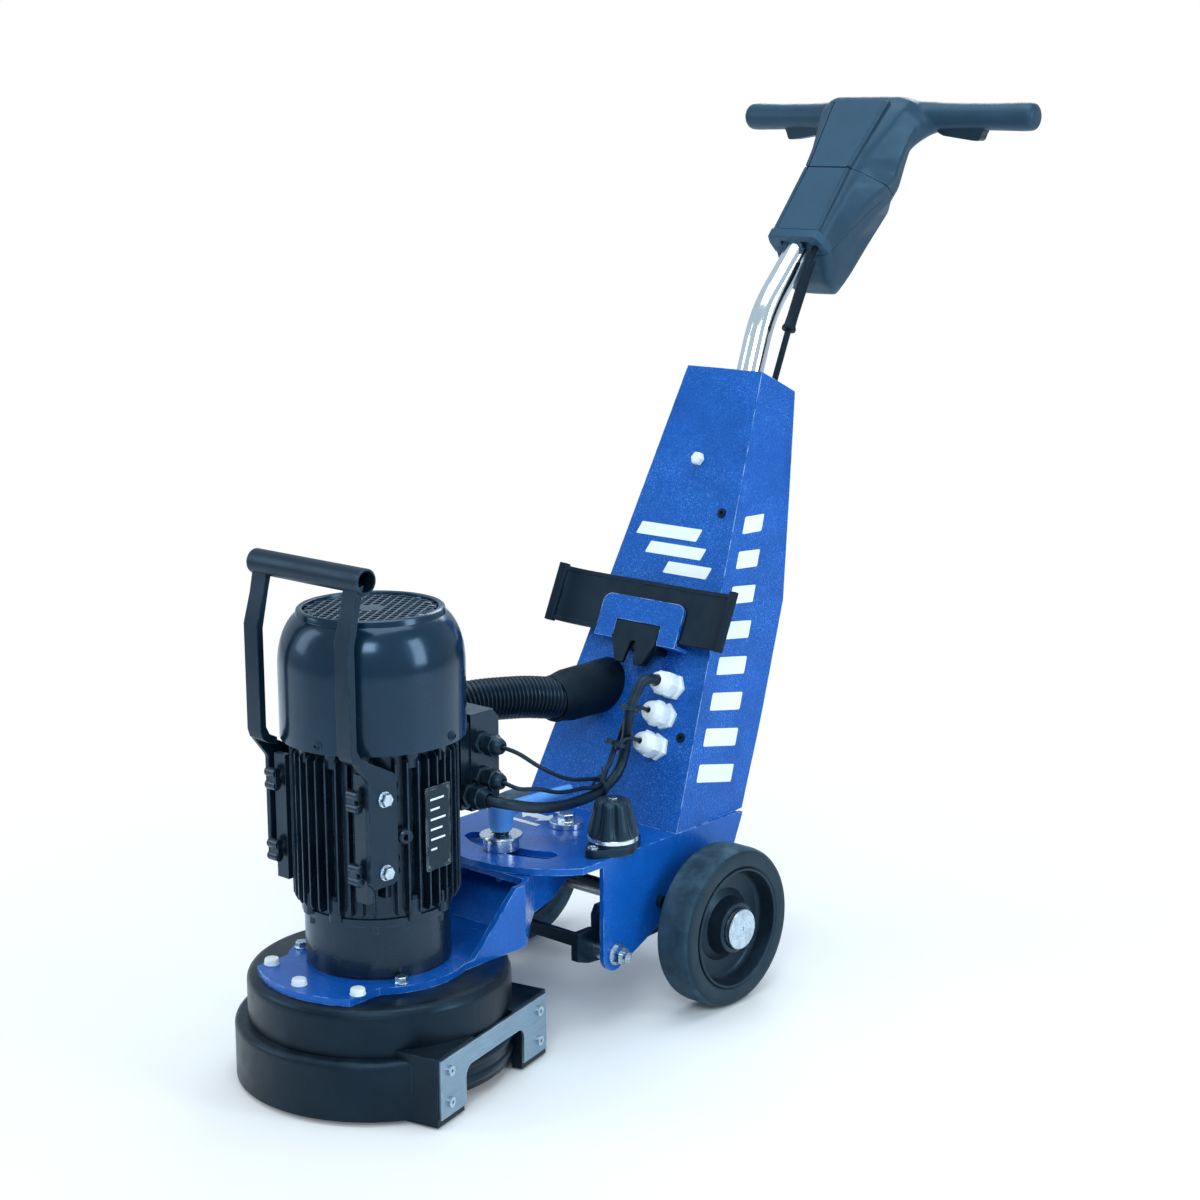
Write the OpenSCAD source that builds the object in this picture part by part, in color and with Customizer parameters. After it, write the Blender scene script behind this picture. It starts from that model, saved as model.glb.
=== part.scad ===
// Walk-behind concrete floor grinder with one disc, an electric motor and a swinging head.
// Origin: on the floor, on the spindle axis. +Z up, +Y towards the operator, +X to the operator's right.

/* [Grinding disc and skirt] */
// Diameter of the grinding disc
disc_d = 250; // [230:5:256]
// Height of the diamond segments
segment_h = 8; // [6:1:10]
// Outside diameter of the dust drum
drum_d = 291; // [285:1:294]
// Outside diameter of the turning skirt
skirt_d = 320; // [316:1:330]
// Height of the turning skirt's shoulder
skirt_top = 70; // [64:1:74]
// How far the skirt's flat side is turned at rest
skirt_turn = 12.9; // [0:0.1:30]
// Distance of the edge plate's outer face from the spindle
edge_distance = 149; // [148:1:152]
// Length of the edge plate
edge_length = 218; // [200:2:224]

/* [Motor] */
// Top of the arm's plate, where the motor flange stands
mount_z = 131; // [129:1:134]
// Radius of the motor's flange bell
bell_r = 80; // [78:1:82]
// Radius over the cooling fins
fin_r = 92; // [88:1:93]
// Number of cooling fins
fin_count = 36; // [24:4:44]
// Radius of the fan cowl
cowl_r = 99; // [97:1:101]
// Height of the cowl's lower edge
cowl_z = 385; // [380:1:388]
// Height of the fan grille
cowl_top = 525; // [515:1:535]
// Height of the lifting tube's centre
lift_z = 575; // [565:1:585]
// Half length of the lifting tube
lift_half = 86; // [82:1:92]

/* [Frame] */
// Height of the deck's top
deck_z = 204.4; // [202:0.2:207]
// Half width of the deck
deck_half = 120; // [119:1:123]
// Distance from the spindle to the swing pivot
pivot_y = 307; // [303:1:309]
// Radius of the arc slot about the swing pivot
slot_r = 112; // [109:1:114]
// Half angle of the arc slot
slot_angle = 30; // [28:0.5:31]
// Lean of the tower from the vertical
tower_lean = 24.3; // [23:0.1:25]
// Length of the tower's front face
tower_length = 572; // [560:2:584]
// Half width of the tower's top
tower_top_half = 57.7; // [54:0.1:60]

/* [Wheels] */
// Radius of a wheel
wheel_r = 96; // [94:1:102]
// Width of a tyre
tyre_w = 50; // [44:1:52]
// Distance of the axle behind the spindle
axle_y = 398; // [394:1:402]
// Distance of the axle yoke's pivot behind the spindle
yoke_y = 258; // [256:1:260]
// Height of the axle yoke's pivot
yoke_z = 87; // [85:1:89]

/* [Handle] */
// Diameter of the bent handle tube
handle_d = 33.7; // [32:0.1:34]
// Half width over the grips
grip_half = 231; // [220:1:240]
// Diameter of a grip
grip_d = 36; // [33:1:37]

/* [Hidden] */

$fn = 64;
blue = "royalblue";
black = "#20252c";
steel = "silver";
slide_gap = 0.05;       // radial clearance of a turning fit
eps = 0.2;              // clearance between parts that only stand next to each other
row_y = 400.67;         // from the spindle's axis to the middle of the overall length

drum_r = drum_d / 2;
skirt_r = skirt_d / 2;
disc_r = disc_d / 2;
disc_t = 6;
disc_top = segment_h + disc_t;
arm_plate_t = 8;
drum_top = mount_z - arm_plate_t;
drum_wall = 3;
drum_bottom = 16;
bead_z = 40;
bead_h = 3;
bead_r = drum_r + 2;

shaft_r = 14;
bearing_r = 31;
bearing_bore = 15;
bearing_w = 16;
bell_top = 200;
plate_x = 76;           // inner face of the lifting handle's plates
lift_screw_y = -63;
lift_screw_z = [260, 340];
lower_bearing_z = mount_z + 4;
upper_bearing_z = cowl_z - 20;
core_z0 = 235;
core_z1 = 345;

deck_t = 8;
deck_under = deck_z - deck_t;
side_t = 6;
side_front = yoke_y - 20;
face_y = 367.6;
face_slope = tan(tower_lean);
sheet_t = 3;
pipe_x = -50;
pipe_z = 346;
pipe_r = 24;
port_r = 25;
cuff_r = 32;
knob_x = 102;
knob_y = 275;
spindle_r = 6;
nut_z = 128;
yoke_x0 = 84;
yoke_x1 = 94;
axle_z = wheel_r;
axle_r = 10;
wheel_x0 = 141;
rim_r = 72;
gland_x = 63;
gland_s = [170, 133, 95];
tube_t = 51;            // depth of the handle tube's centre at the tower's top
tube_tilt = 4.5;
tube_straight = 55;
tube_bend_r = 160;
tube_bend = 24.2;
stud_y = pivot_y - slot_r;
slot_half = 13.5;
nose_y = 294;           // centre of the deck's rounded front edge

// ---------- helpers ----------

// Round bar along X, along Y
module x_rod(x0, x1, y, z, r) translate([x0, y, z]) rotate([0, 90, 0]) cylinder(h = x1 - x0, r = r);
module y_rod(x, y0, y1, z, r) translate([x, y0, z]) rotate([-90, 0, 0]) cylinder(h = y1 - y0, r = r);

// Flat outline given in (y, z), thickened along X; and one given in (x, z), thickened along Y
module plate_yz(x0, x1) translate([x0, 0, 0]) rotate([90, 0, 90]) linear_extrude(x1 - x0) children();
module plate_xz(y0, y1) translate([0, y1, 0]) rotate([90, 0, 0]) linear_extrude(y1 - y0) children();

// Box between two corners
module block(a, b) translate(a) cube(b - a);

// A ring between two radii
module ring(z0, z1, r_out, r_in) translate([0, 0, z0]) difference() {
    cylinder(h = z1 - z0, r = r_out);
    translate([0, 0, -1]) cylinder(h = z1 - z0 + 2, r = r_in);
}

// Hexagon head standing on z = 0
module hex(across_flats, h) cylinder(h = h, r = across_flats / sqrt(3), $fn = 6);

// Both sides of the machine
module both_sides() for (side = [0, 1]) mirror([side, 0, 0]) children();

// The tower's frame: local Z runs up the front face, local Y goes in through it
module lean() translate([0, face_y, deck_z]) rotate([-tower_lean, 0, 0]) children();

// The skirt's frame: local X points at the edge plate
module skirt_frame() rotate([0, 0, skirt_turn]) children();

// Smooth path through points, and a round section swept along it
function unit(v) = v / norm(v);
function with_ends(p) = concat([2 * p[0] - p[1]], p, [2 * p[len(p) - 1] - p[len(p) - 2]]);
function on_path(p, t) =
    let (i = min(floor(t), len(p) - 4), u = t - i)
    0.5 * (2 * p[i + 1] + (p[i + 2] - p[i]) * u
        + (2 * p[i] - 5 * p[i + 1] + 4 * p[i + 2] - p[i + 3]) * u * u
        + (3 * p[i + 1] - 3 * p[i + 2] + p[i + 3] - p[i]) * u * u * u);
module sweep(points, r, steps = 6, sides = 16) {
    path = with_ends(points);
    rings = steps * (len(points) - 1);
    guide = [1, -1, 1];
    centres = [for (j = [0 : rings]) on_path(path, j / steps)];
    tangents = [for (j = [0 : rings]) unit(centres[min(j + 1, rings)] - centres[max(j - 1, 0)])];
    verts = [for (j = [0 : rings]) let (n = unit(cross(tangents[j], guide)), b = cross(tangents[j], n))
        for (k = [0 : sides - 1]) centres[j] + r * (cos(360 * k / sides) * n + sin(360 * k / sides) * b)];
    walls = [for (j = [0 : rings - 1], k = [0 : sides - 1])
        let (a = j * sides + k, b = j * sides + (k + 1) % sides) [a, a + sides, b + sides, b]];
    start = [for (k = [0 : sides - 1]) k];
    end = [for (k = [sides - 1 : -1 : 0]) rings * sides + k];
    polyhedron(verts, concat([start], walls, [end]), convexity = 6);
}
// A point given in the tower's frame, in the part's frame
function tower_point(x, s, t) = [
    x,
    face_y + s * sin(tower_lean) + t * cos(tower_lean),
    deck_z + s * cos(tower_lean) - t * sin(tower_lean)
];

// ---------- frame ----------

module side_outline() {
    low = [yoke_y + 20 * sin(tower_lean), yoke_z - 20 * cos(tower_lean)];
    back_y = 477;
    back = [back_y, low[1] + (back_y - low[0]) * face_slope];
    difference() {
        union() {
            polygon([
                [side_front, deck_z - 2], [side_front, yoke_z], [yoke_y, yoke_z], low, back,
                [back[0] + (deck_z - 2 - back[1]) * face_slope, deck_z - 2]
            ]);
            translate([yoke_y, yoke_z]) circle(r = 20);
        }
        translate([yoke_y, yoke_z]) circle(r = 6.3);
    }
}
module deck_frame() color(blue) {
    difference() {
        union() {
            intersection() {
                translate([0, nose_y, deck_under]) cylinder(h = deck_t, r = 150, $fn = 128);
                block([-deck_half, 0, deck_under], [deck_half, nose_y + 1, deck_z]);
            }
            block([-deck_half, nose_y, deck_under], [deck_half, 486, deck_z]);
            both_sides() plate_yz(deck_half - side_t, deck_half) side_outline();
            both_sides() block([deck_half - 26, 300, deck_under - 4], [deck_half - side_t + 1, 320, deck_under + 1]);
        }
        arc_slot();
        translate([0, pivot_y, 0]) cylinder(h = 300, r = 10.2);
        translate([knob_x, knob_y, 0]) cylinder(h = 300, r = 7);
        for (end = [-1, 1]) translate([knob_x, knob_y + 32 * end, deck_under - 6]) cylinder(h = 25, r = 2.7);
        both_sides() x_rod(100, 130, 337, 130, 4.2);
        block([-70, 400, deck_under - 1], [70, 470, deck_z + 1]);
    }
}
module arc_slot() translate([0, pivot_y, deck_under - 1]) {
    rotate([0, 0, -90 - slot_angle]) rotate_extrude(angle = 2 * slot_angle, $fn = 128)
        translate([slot_r - slot_half, 0]) square([2 * slot_half, deck_t + 2]);
    for (side = [-1, 1]) rotate([0, 0, -90 + side * slot_angle]) translate([slot_r, 0, 0])
        cylinder(h = deck_t + 2, r = slot_half);
}

// Side view of the tower in (depth, height along the face), set in by a margin
module tower_outline(inset, back_inset) polygon([
    [inset, -80], [inset, tower_length - inset], [74 - back_inset, tower_length - inset],
    [100 - back_inset, 452], [128 - back_inset, 318], [126 - back_inset, 165], [113 - back_inset, -80]
]);
function tower_half(s) = deck_half - (deck_half - tower_top_half) * s / tower_length;
module tower_front(inset) polygon([
    [-tower_half(-80) + inset, -80], [tower_half(-80) - inset, -80],
    [tower_half(tower_length) - inset, tower_length + 10], [-tower_half(tower_length) + inset, tower_length + 10]
]);
module tower_block(inset, back_inset) intersection() {
    plate_yz(-140, 140) tower_outline(inset, back_inset);
    plate_xz(-10, 150) tower_front(inset);
}
module above_deck() difference() {
    children();
    block([-200, 200, 0], [200, 700, deck_z + 0.1]);
    block([deck_half, 200, 0], [200, 700, 900]);
    block([-200, 200, 0], [-deck_half, 700, 900]);
}
module tower_shell() color(blue) above_deck() difference() {
    lean() difference() {
        tower_block(0, 0);
        tower_block(sheet_t, -20);
        tube_path(handle_d / 2 + 0.5);
        translate([36, 57, tower_length - 20]) cylinder(h = 60, r = 7);
        for (s = gland_s) y_rod(gland_x, -5, 10, s, 10.2);
        y_rod(0, -5, 10, 453, 5.5);
        for (hole = [[57, 390], [88, 112]]) y_rod(hole[0], -5, 10, hole[1], 3.2);
    }
    y_rod(pipe_x, 350, 480, pipe_z, pipe_r + 0.3);
}
module rear_cover() color(blue) above_deck() difference() {
    lean() difference() {
        intersection() {
            tower_block(sheet_t + eps, 0.5);
            plate_yz(-140, 140) difference() {
                tower_outline(60, 0.5);
                tower_outline(50, 0.5 + 2.5);
            }
            block([-200, 40, -100], [200, 200, tower_length - 5]);
        }
        y_rod(40, 90, 150, 150, 24);
        for (x = [-70, 70]) y_rod(x, 80, 160, 180, 3);
        for (x = [-45, 45]) y_rod(x, 80, 160, 440, 3);
    }
    y_rod(pipe_x, 450, 650, pipe_z, pipe_r + 0.3);
}

// Socket screw with its head on z = 0 and its shank below
module socket_screw(r, l) difference() {
    union() {
        cylinder(h = r * 1.6, r = r * 1.7);
        translate([0, 0, -l]) cylinder(h = l + 0.1, r = r);
    }
    translate([0, 0, r * 0.7]) hex(r * 1.6, r * 2);
}
module frame_screws() color(steel) {
    for (end = [-1, 1]) translate([knob_x, knob_y + 32 * end, deck_z + 6]) socket_screw(2.6, 14.5);
    lean() {
        for (hole = [[57, 390], [88, 112]]) translate([hole[0], 0, hole[1]]) rotate([90, 0, 0]) socket_screw(3, 12);
        translate([0, 0, 453]) rotate([90, 0, 0]) {
            hex(15, 7);
            translate([0, 0, -86]) cylinder(h = 86.1, r = 5);
        }
    }
}
module dust_pipe() color(steel) difference() {
    union() {
        y_rod(pipe_x, 385, 590, pipe_z, pipe_r);
        y_rod(pipe_x, 585, 625, pipe_z, port_r);
    }
    y_rod(pipe_x, 380, 630, pipe_z, pipe_r - 2);
}
module hose_cuff() color(black) difference() {
    y_rod(pipe_x, 343, 470, pipe_z, cuff_r);
    y_rod(pipe_x, 340, 384.5, pipe_z, 25.05);
    y_rod(pipe_x, 384, 480, pipe_z, pipe_r + slide_gap);
    lean() block([-200, -0.1, -100], [200, 200, 500]);
}

// ---------- things on the tower's face ----------

module saddle_strip() color(black) lean() difference() {
    union() {
        block([-136, -24, 219], [136, -19, 286]);
        both_sides() block([133, -38, 218], [141, -19, 292]);
    }
    both_sides() y_rod(50, -30, -10, 254, 3.1);
}
module saddle_bracket() color(blue) lean() difference() {
    union() {
        block([-64, -28, 216], [64, -24, 254]);
        block([-52, -28, 253], [52, -24, 266]);
        both_sides() y_rod(52, -28, -24, 254, 12);
        both_sides() block([36, -28, 212], [64, -0.1, 216]);
        both_sides() y_rod(50, -24.1, -15, 254, 3);
    }
    block([-35, -40, 200], [35, -10, 236]);
}
module fork_hook() color(black) lean() {
    block([-34, -28, 204], [34, -24.2, 235.5]);
    both_sides() plate_xz(-26, -8) polygon([[34, 217], [30, 184], [14, 184], [7, 205], [7, 217]]);
    block([-34, -26, 200], [34, -0.1, 217]);
}
module cable_glands() color("white") lean() for (i = [0 : 2]) translate([gland_x, 0, gland_s[i]])
    rotate([90, 0, 0]) difference() {
        union() {
            hex(27, 9);
            translate([0, 0, 9]) cylinder(h = 6, r = 11);
            translate([0, 0, 15]) hex(25, 14);
            translate([0, 0, 29]) cylinder(h = 12, r1 = 12, r2 = 8.5);
            translate([0, 0, -8]) cylinder(h = 8.1, r = 10);
        }
        translate([0, 0, -10]) cylinder(h = 60, r = i == 0 ? 7 : 4.2);
    }
module control_box() color("dimgray") lean() difference() {
    block([-52, 12, 262], [52, 92, 352]);
    block([-48, 16, 266], [48, 88, 348]);
}
module power_inlet() color("darkblue") lean() translate([40, 124.4, 150]) rotate([-90, 0, 0]) {
    difference() {
        union() {
            block([-34, -34, 3], [34, 34, 8]);
            translate([0, 0, 3]) cylinder(h = 41, r = 27);
            translate([0, 0, -20]) cylinder(h = 30, r = 22);
        }
        translate([0, 0, 10]) cylinder(h = 40, r = 24);
    }
    for (a = [90, 210, 330]) rotate([0, 0, a]) translate([13, 0, 5]) cylinder(h = 32, r = 2.5);
}

// ---------- knob, yoke and wheels ----------

module spindle_flange() color(black) translate([knob_x, knob_y, 0]) difference() {
    union() {
        translate([0, 0, deck_z]) linear_extrude(10) hull() {
            circle(r = 27);
            for (end = [-1, 1]) translate([0, 32 * end]) circle(r = 11);
        }
        translate([0, 0, deck_z + 9]) cylinder(h = 10, r = 28);
    }
    for (end = [-1, 1]) translate([0, 32 * end, deck_z - 1]) {
        cylinder(h = 12, r = 2.7);
    }
    for (end = [-1, 1]) translate([0, 32 * end, deck_z + 6]) cylinder(h = 12, r = 5);
    translate([0, 0, deck_z - 1]) cylinder(h = 30, r = spindle_r + slide_gap);
}
module adjusting_knob() color(black) translate([knob_x, knob_y, 0]) {
    base = deck_z + 19 + eps;
    difference() {
        union() {
            translate([0, 0, base]) cylinder(h = 38, r1 = 30, r2 = 23);
            translate([0, 0, base + 38]) cylinder(h = 4, r1 = 23, r2 = 18);
        }
        for (a = [0 : 45 : 315]) rotate([0, 0, a]) translate([40, 0, base - 1])
            rotate([0, -8, 0]) cylinder(h = 60, r = 13);
    }
    translate([0, 0, 108]) cylinder(h = base - 108 + 1, r = spindle_r);
    translate([0, 0, deck_under - 6]) cylinder(h = 4, r = 10);
}
module spindle_nut() color(steel) difference() {
    union() {
        block([knob_x - 7.4, knob_y - 9, nut_z - 11], [deck_half - side_t - 0.5, knob_y + 9, nut_z + 11]);
        x_rod(yoke_x0 + 1, knob_x - 7, knob_y, nut_z, 4);
    }
    translate([knob_x, knob_y, 0]) cylinder(h = 300, r = spindle_r + slide_gap);
}
module axle_yoke() color(black) difference() {
    union() {
        both_sides() plate_yz(yoke_x0, yoke_x1) {
            polygon([
                [222, 80], [222, 113], [252, 113], [270, 108], [axle_y - 4, axle_z + 17],
                [axle_y + 4, axle_z - 17], [yoke_y + 4, yoke_z - 15], [240, 74]
            ]);
            translate([axle_y, axle_z]) circle(r = 18);
        }
        block([-yoke_x1, 222, 98], [yoke_x1, 229, 113]);
        plate_yz(yoke_x0, yoke_x1) polygon([[256, 100], [256, 128], [262, 138], [292, 138], [300, 100]]);
    }
    x_rod(-120, 120, yoke_y, yoke_z, 6 + slide_gap);
    x_rod(-120, 120, axle_y, axle_z, axle_r);
    block([yoke_x0 - 1, knob_y - 6, nut_z - 4.4], [yoke_x1 + 1, knob_y + 6, nut_z + 4.4]);
    for (end = [-1, 1]) x_rod(yoke_x0 - 1, yoke_x1 + 1, knob_y + end * 6, nut_z, 4.4);
}
module yoke_bolts() color(steel) both_sides() {
    difference() {
        union() {
            x_rod(76, 140, yoke_y, yoke_z, 6);
            translate([76, yoke_y, yoke_z]) rotate([0, 90, 0]) hex(19, 7.8);
            x_rod(deck_half + 0.1, deck_half + 3, yoke_y, yoke_z, 13);
            translate([deck_half + 3, yoke_y, yoke_z]) rotate([0, 90, 0]) hex(19, 10);
            x_rod(yoke_x1 + eps, deck_half - side_t, yoke_y, yoke_z, 11);
        }
        x_rod(139, 145, yoke_y, yoke_z, 3);
    }
}
module tie_rod() color(black) union() {
    x_rod(-deck_half + side_t, deck_half - side_t, 337, 130, 7);
    x_rod(-deck_half - 3, deck_half + 3, 337, 130, 4);
    both_sides() x_rod(deck_half + 0.1, deck_half + 6, 337, 130, 7);
}
module wheel_axle() color(steel) {
    x_rod(-192, 192, axle_y, axle_z, axle_r);
    both_sides() x_rod(yoke_x1 + 0.1, wheel_x0 - 0.1, axle_y, axle_z, 14);
}
module axle_caps() color(steel) both_sides() translate([wheel_x0 + tyre_w - 2, axle_y, axle_z]) rotate([0, 90, 0])
    difference() {
        union() {
            cylinder(h = 6, r = 21);
            translate([0, 0, 6]) cylinder(h = 1.5, r1 = 21, r2 = 19);
        }
        translate([0, 0, -1]) cylinder(h = 6, r = axle_r + 0.05);
        translate([0, 0, 4]) cylinder(h = 5, r = 4);
    }
module wheel_place(side) translate([side * wheel_x0, axle_y, axle_z]) rotate([0, side * 90, 0]) children();
module tyre(side) color("#2c3440") wheel_place(side) rotate_extrude($fn = 128) polygon([
    [rim_r + eps, 3], [wheel_r - 5, 0], [wheel_r - 1.5, 2], [wheel_r, 6],
    [wheel_r, tyre_w - 6], [wheel_r - 1.5, tyre_w - 2], [wheel_r - 5, tyre_w], [rim_r + eps, tyre_w - 3]
]);
module rim(side) color(black) wheel_place(side) difference() {
    rotate_extrude($fn = 128) polygon([
        [axle_r + slide_gap, 0], [24, 0], [24, 8], [62, 16], [62, 3], [rim_r, 3], [rim_r, tyre_w - 3],
        [68, tyre_w], [65, tyre_w - 1], [62, 30], [32, 26], [28, tyre_w - 5], [25, tyre_w - 3],
        [axle_r + slide_gap, tyre_w - 3]
    ]);
    translate([0, 0, tyre_w - 2.5]) cylinder(h = 5, r = 22);
}
module left_tyre() tyre(-1);
module left_rim() rim(-1);
module right_tyre() tyre(1);
module right_rim() rim(1);
module swing_bolt() color(steel) translate([0, pivot_y, 0]) {
    translate([0, 0, deck_z]) cylinder(h = 7, r = 19.5);
    translate([0, 0, deck_z + 7]) hex(19, 8);
    translate([0, 0, 158]) cylinder(h = deck_z - 158 + 1, r = 10);
    translate([0, 0, 155.4]) hex(30, 10);
}

// ---------- handle ----------

module tube_path(r) translate([0, tube_t, tower_length]) rotate([tube_tilt, 0, 0]) {
    translate([0, 0, -170]) cylinder(h = 170 + tube_straight, r = r);
    translate([0, tube_bend_r, tube_straight]) {
        rotate([0, -90, 0]) rotate([0, 0, -90]) rotate_extrude(angle = tube_bend, $fn = 128)
            translate([tube_bend_r, 0]) circle(r = r);
        rotate([-tube_bend, 0, 0]) translate([0, -tube_bend_r, 0]) cylinder(h = 130, r = r);
    }
}
module handle_tube() color("gainsboro") lean() difference() {
    tube_path(handle_d / 2);
    tube_path(handle_d / 2 - 2.5);
    y_rod(0, 0, 100, 453, 5.1);
}
// Side view of the handle head in (y, z): the panel, then round the back
head_panel = [[745, 887], [884, 1051]];
head_back = [[925, 1053], [948, 1032], [926, 952], [903, 906], [808, 820], [790, 809], [752, 873]];
module head_outline() polygon(concat(head_panel, head_back));
module grip_path(r, x0, x1) translate([0, 924, 1029]) rotate([0, 0, 5]) x_rod(x0, x1, 0, 0, r);
module head_solid() {
    hull() {
        plate_yz(-38, 38) head_outline();
        plate_yz(-47, 47) polygon([[775, 885], [880, 1010], [925, 1030], [905, 950], [885, 915], [790, 830]]);
    }
    both_sides() hull() {
        grip_path(grip_d / 2 + 1, 84, 86);
        plate_yz(30, 46) polygon([[884, 1046], [925, 1052], [944, 1030], [915, 950], [870, 1000]]);
    }
}
module head_seam(gap) translate([0, 800, 965]) rotate([-40, 0, 0]) block([-80, -60, -300], [80, 200, gap]);
module trigger_space(grow) both_sides() translate([0, 924, 1029]) rotate([0, 0, 5]) {
    block([88 - grow, -9 - grow, -30], [158 + grow, 9 + grow, -5 + grow]);
}
module handle_housing() color("#34475c") difference() {
    union() {
        head_solid();
        both_sides() {
            grip_path(grip_d / 2, 70, grip_half - 8);
            translate([0, 924, 1029]) rotate([0, 0, 5]) translate([grip_half - 8, 0, 0]) rotate([0, 90, 0])
                cylinder(h = 8, r1 = grip_d / 2, r2 = grip_d / 2 - 6);
        }
    }
    head_seam(0);
    lean() tube_path(handle_d / 2 + slide_gap);
    trigger_space(0.6);
    both_sides() translate([0, 924, 1029]) rotate([0, 0, 5]) y_rod(96, -13, 13, -10, 2 + slide_gap);
}
module handle_cover() color("#34475c") difference() {
    intersection() {
        head_solid();
        head_seam(-0.4);
    }
    lean() tube_path(handle_d / 2 + slide_gap);
    lean() sweep(control_path(), 9, 4, 12);
}
function control_path(end = 775) = [
    [36, 57, 545], [36, 57, 590], [36, 57, 645], [33, 63, 690], [30, 69, 736], [27, 78, end]
];
module control_cable() color(black) lean() {
    sweep(control_path(768), 4, 5, 16);
    translate([36, 57, 645]) rotate([-7.5, -3.8, 0]) cylinder(h = 92, r = 7);
}
module trigger(side) color(black) mirror([side < 0 ? 1 : 0, 0, 0]) translate([0, 924, 1029]) rotate([0, 0, 5]) {
    translate([96, 0, -10]) rotate([0, 7, 0]) {
        block([-4, -8, -4], [60, 8, 1.5]);
        block([52, -8, -7], [60, 8, -4]);
    }
    y_rod(96, -12.5, 12.5, -10, 2);
}
module left_trigger() trigger(-1);
module right_trigger() trigger(1);

// ---------- hose and cables ----------

port_at = [-131, 92];
function hose_path() = [
    [port_at[0], port_at[1], 160], [port_at[0], port_at[1] + 2, 205], [-128, 104, 258], [-116, 132, 312],
    [-98, 178, 348], [-80, 228, 361], [-60, 290, 355], [pipe_x, 342.5, pipe_z]
];
module dust_hose() color(black) sweep(hose_path(), 24.5, 4, 20);
function motor_cable_path() = [
    [73.5, 97, 301], [88, 112, 298], [86, 150, 287], [68, 205, 270], [50, 262, 256], [43, 318, 254],
    [42, 358, 268], [42, 377, 305], [46, 384, 345], tower_point(gland_x - 4, 167, -54), tower_point(gland_x, 170, -41.5)
];
module motor_cable() color(black) sweep(motor_cable_path(), 6.3, 5, 12);
function signal_path(i) = let (z = i == 0 ? 357 : 317, s = gland_s[i + 1]) [
    [73.5, 117, z], [90, 126, z - 3], [84, 178, z - 24 - 12 * (1 - i)], [56, 250, i == 0 ? 290 : 279],
    [40 + 4 * i, 318, i == 0 ? 275 : 267], [30, 352, 277 + 8 * i], [30 - 3 * i, 372, 300],
    tower_point(gland_x - 20, s - 2, -60 + 4 * i), tower_point(gland_x, s, -41.5)
];
module signal_cables() color(black) for (i = [0, 1]) sweep(signal_path(i), 3.2, 5, 10);

// ---------- swinging arm ----------

// Half outline of the arm in plan behind the motor: full width, taper, round end at the pivot
arm_half = 92;
arm_corner = 138;
waist = [58, 188];
tail_r = 46;
module arm_plan(inset) {
    polygon([
        [-arm_half + inset, 50], [arm_half - inset, 50], [arm_half - inset, arm_corner],
        [waist[0] - inset, waist[1]], [tail_r - inset, pivot_y], [inset - tail_r, pivot_y],
        [inset - waist[0], waist[1]], [inset - arm_half, arm_corner]
    ]);
    translate([0, pivot_y]) circle(r = tail_r - inset);
}
// Side view of the arm's walls in (y, z)
module arm_wall_outline() polygon([
    [40, drum_top], [56, mount_z], [124, deck_under - 1], [360, deck_under - 1], [360, 172], [250, 163],
    [224, 148], [163, 137], [145, 131], [130, drum_top]
]);
module swing_arm() color(blue) difference() {
    union() {
        translate([0, 0, drum_top]) cylinder(h = arm_plate_t, r = 101, $fn = 128);
        intersection() {
            translate([0, 0, drum_top]) cylinder(h = arm_plate_t, r = 134, $fn = 128);
            block([-74, -140, drum_top], [74, 0, mount_z]);
        }
        block([-arm_half, 40, drum_top], [arm_half, arm_corner, mount_z]);
        intersection() {
            linear_extrude(mount_z) arm_plan(0);
            block([-arm_half, arm_corner - 1, drum_top], [arm_half, 146, mount_z]);
        }
        difference() {
            intersection() {
                linear_extrude(deck_under - 1) arm_plan(0);
                plate_yz(-140, 140) arm_wall_outline();
            }
            translate([0, 0, mount_z]) linear_extrude(100) arm_plan(7);
            block([-200, 146, 0], [200, 400, deck_under - 60]);
        }
        intersection() {
            linear_extrude(deck_under - 1) arm_plan(0);
            block([-200, 152, deck_under - 9], [200, 400, deck_under - 1]);
        }
        intersection() {
            linear_extrude(deck_under - 1) arm_plan(0);
            plate_yz(-140, 140) polygon([[144, drum_top], [144, mount_z], [208, 180], [212, 174], [150, drum_top + 1]]);
        }
        translate([0, pivot_y, 166]) cylinder(h = 28, r = 24);
    }
    translate([0, 0, drum_top - 1]) cylinder(h = 20, r = 55.05);
    translate([0, pivot_y, 100]) cylinder(h = 200, r = 10 + slide_gap);
    translate([0, stud_y, 150]) cylinder(h = 100, r = 6);
    for (p = arm_bolt_places()) translate([p[0], p[1], 100]) cylinder(h = 60, r = 4.2);
    for (a = [45 : 90 : 315]) rotate([0, 0, a]) translate([65, 0, 100]) cylinder(h = 60, r = 4.2);
}
// Capped bolts on the front lobe, then the bare ones beside the motor
function arm_bolt_places() = [
    for (a = [-124, -89, -54]) 118 * [cos(a), sin(a)],
    for (a = [-152, -28]) 91 * [cos(a), sin(a)]
];
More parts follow.
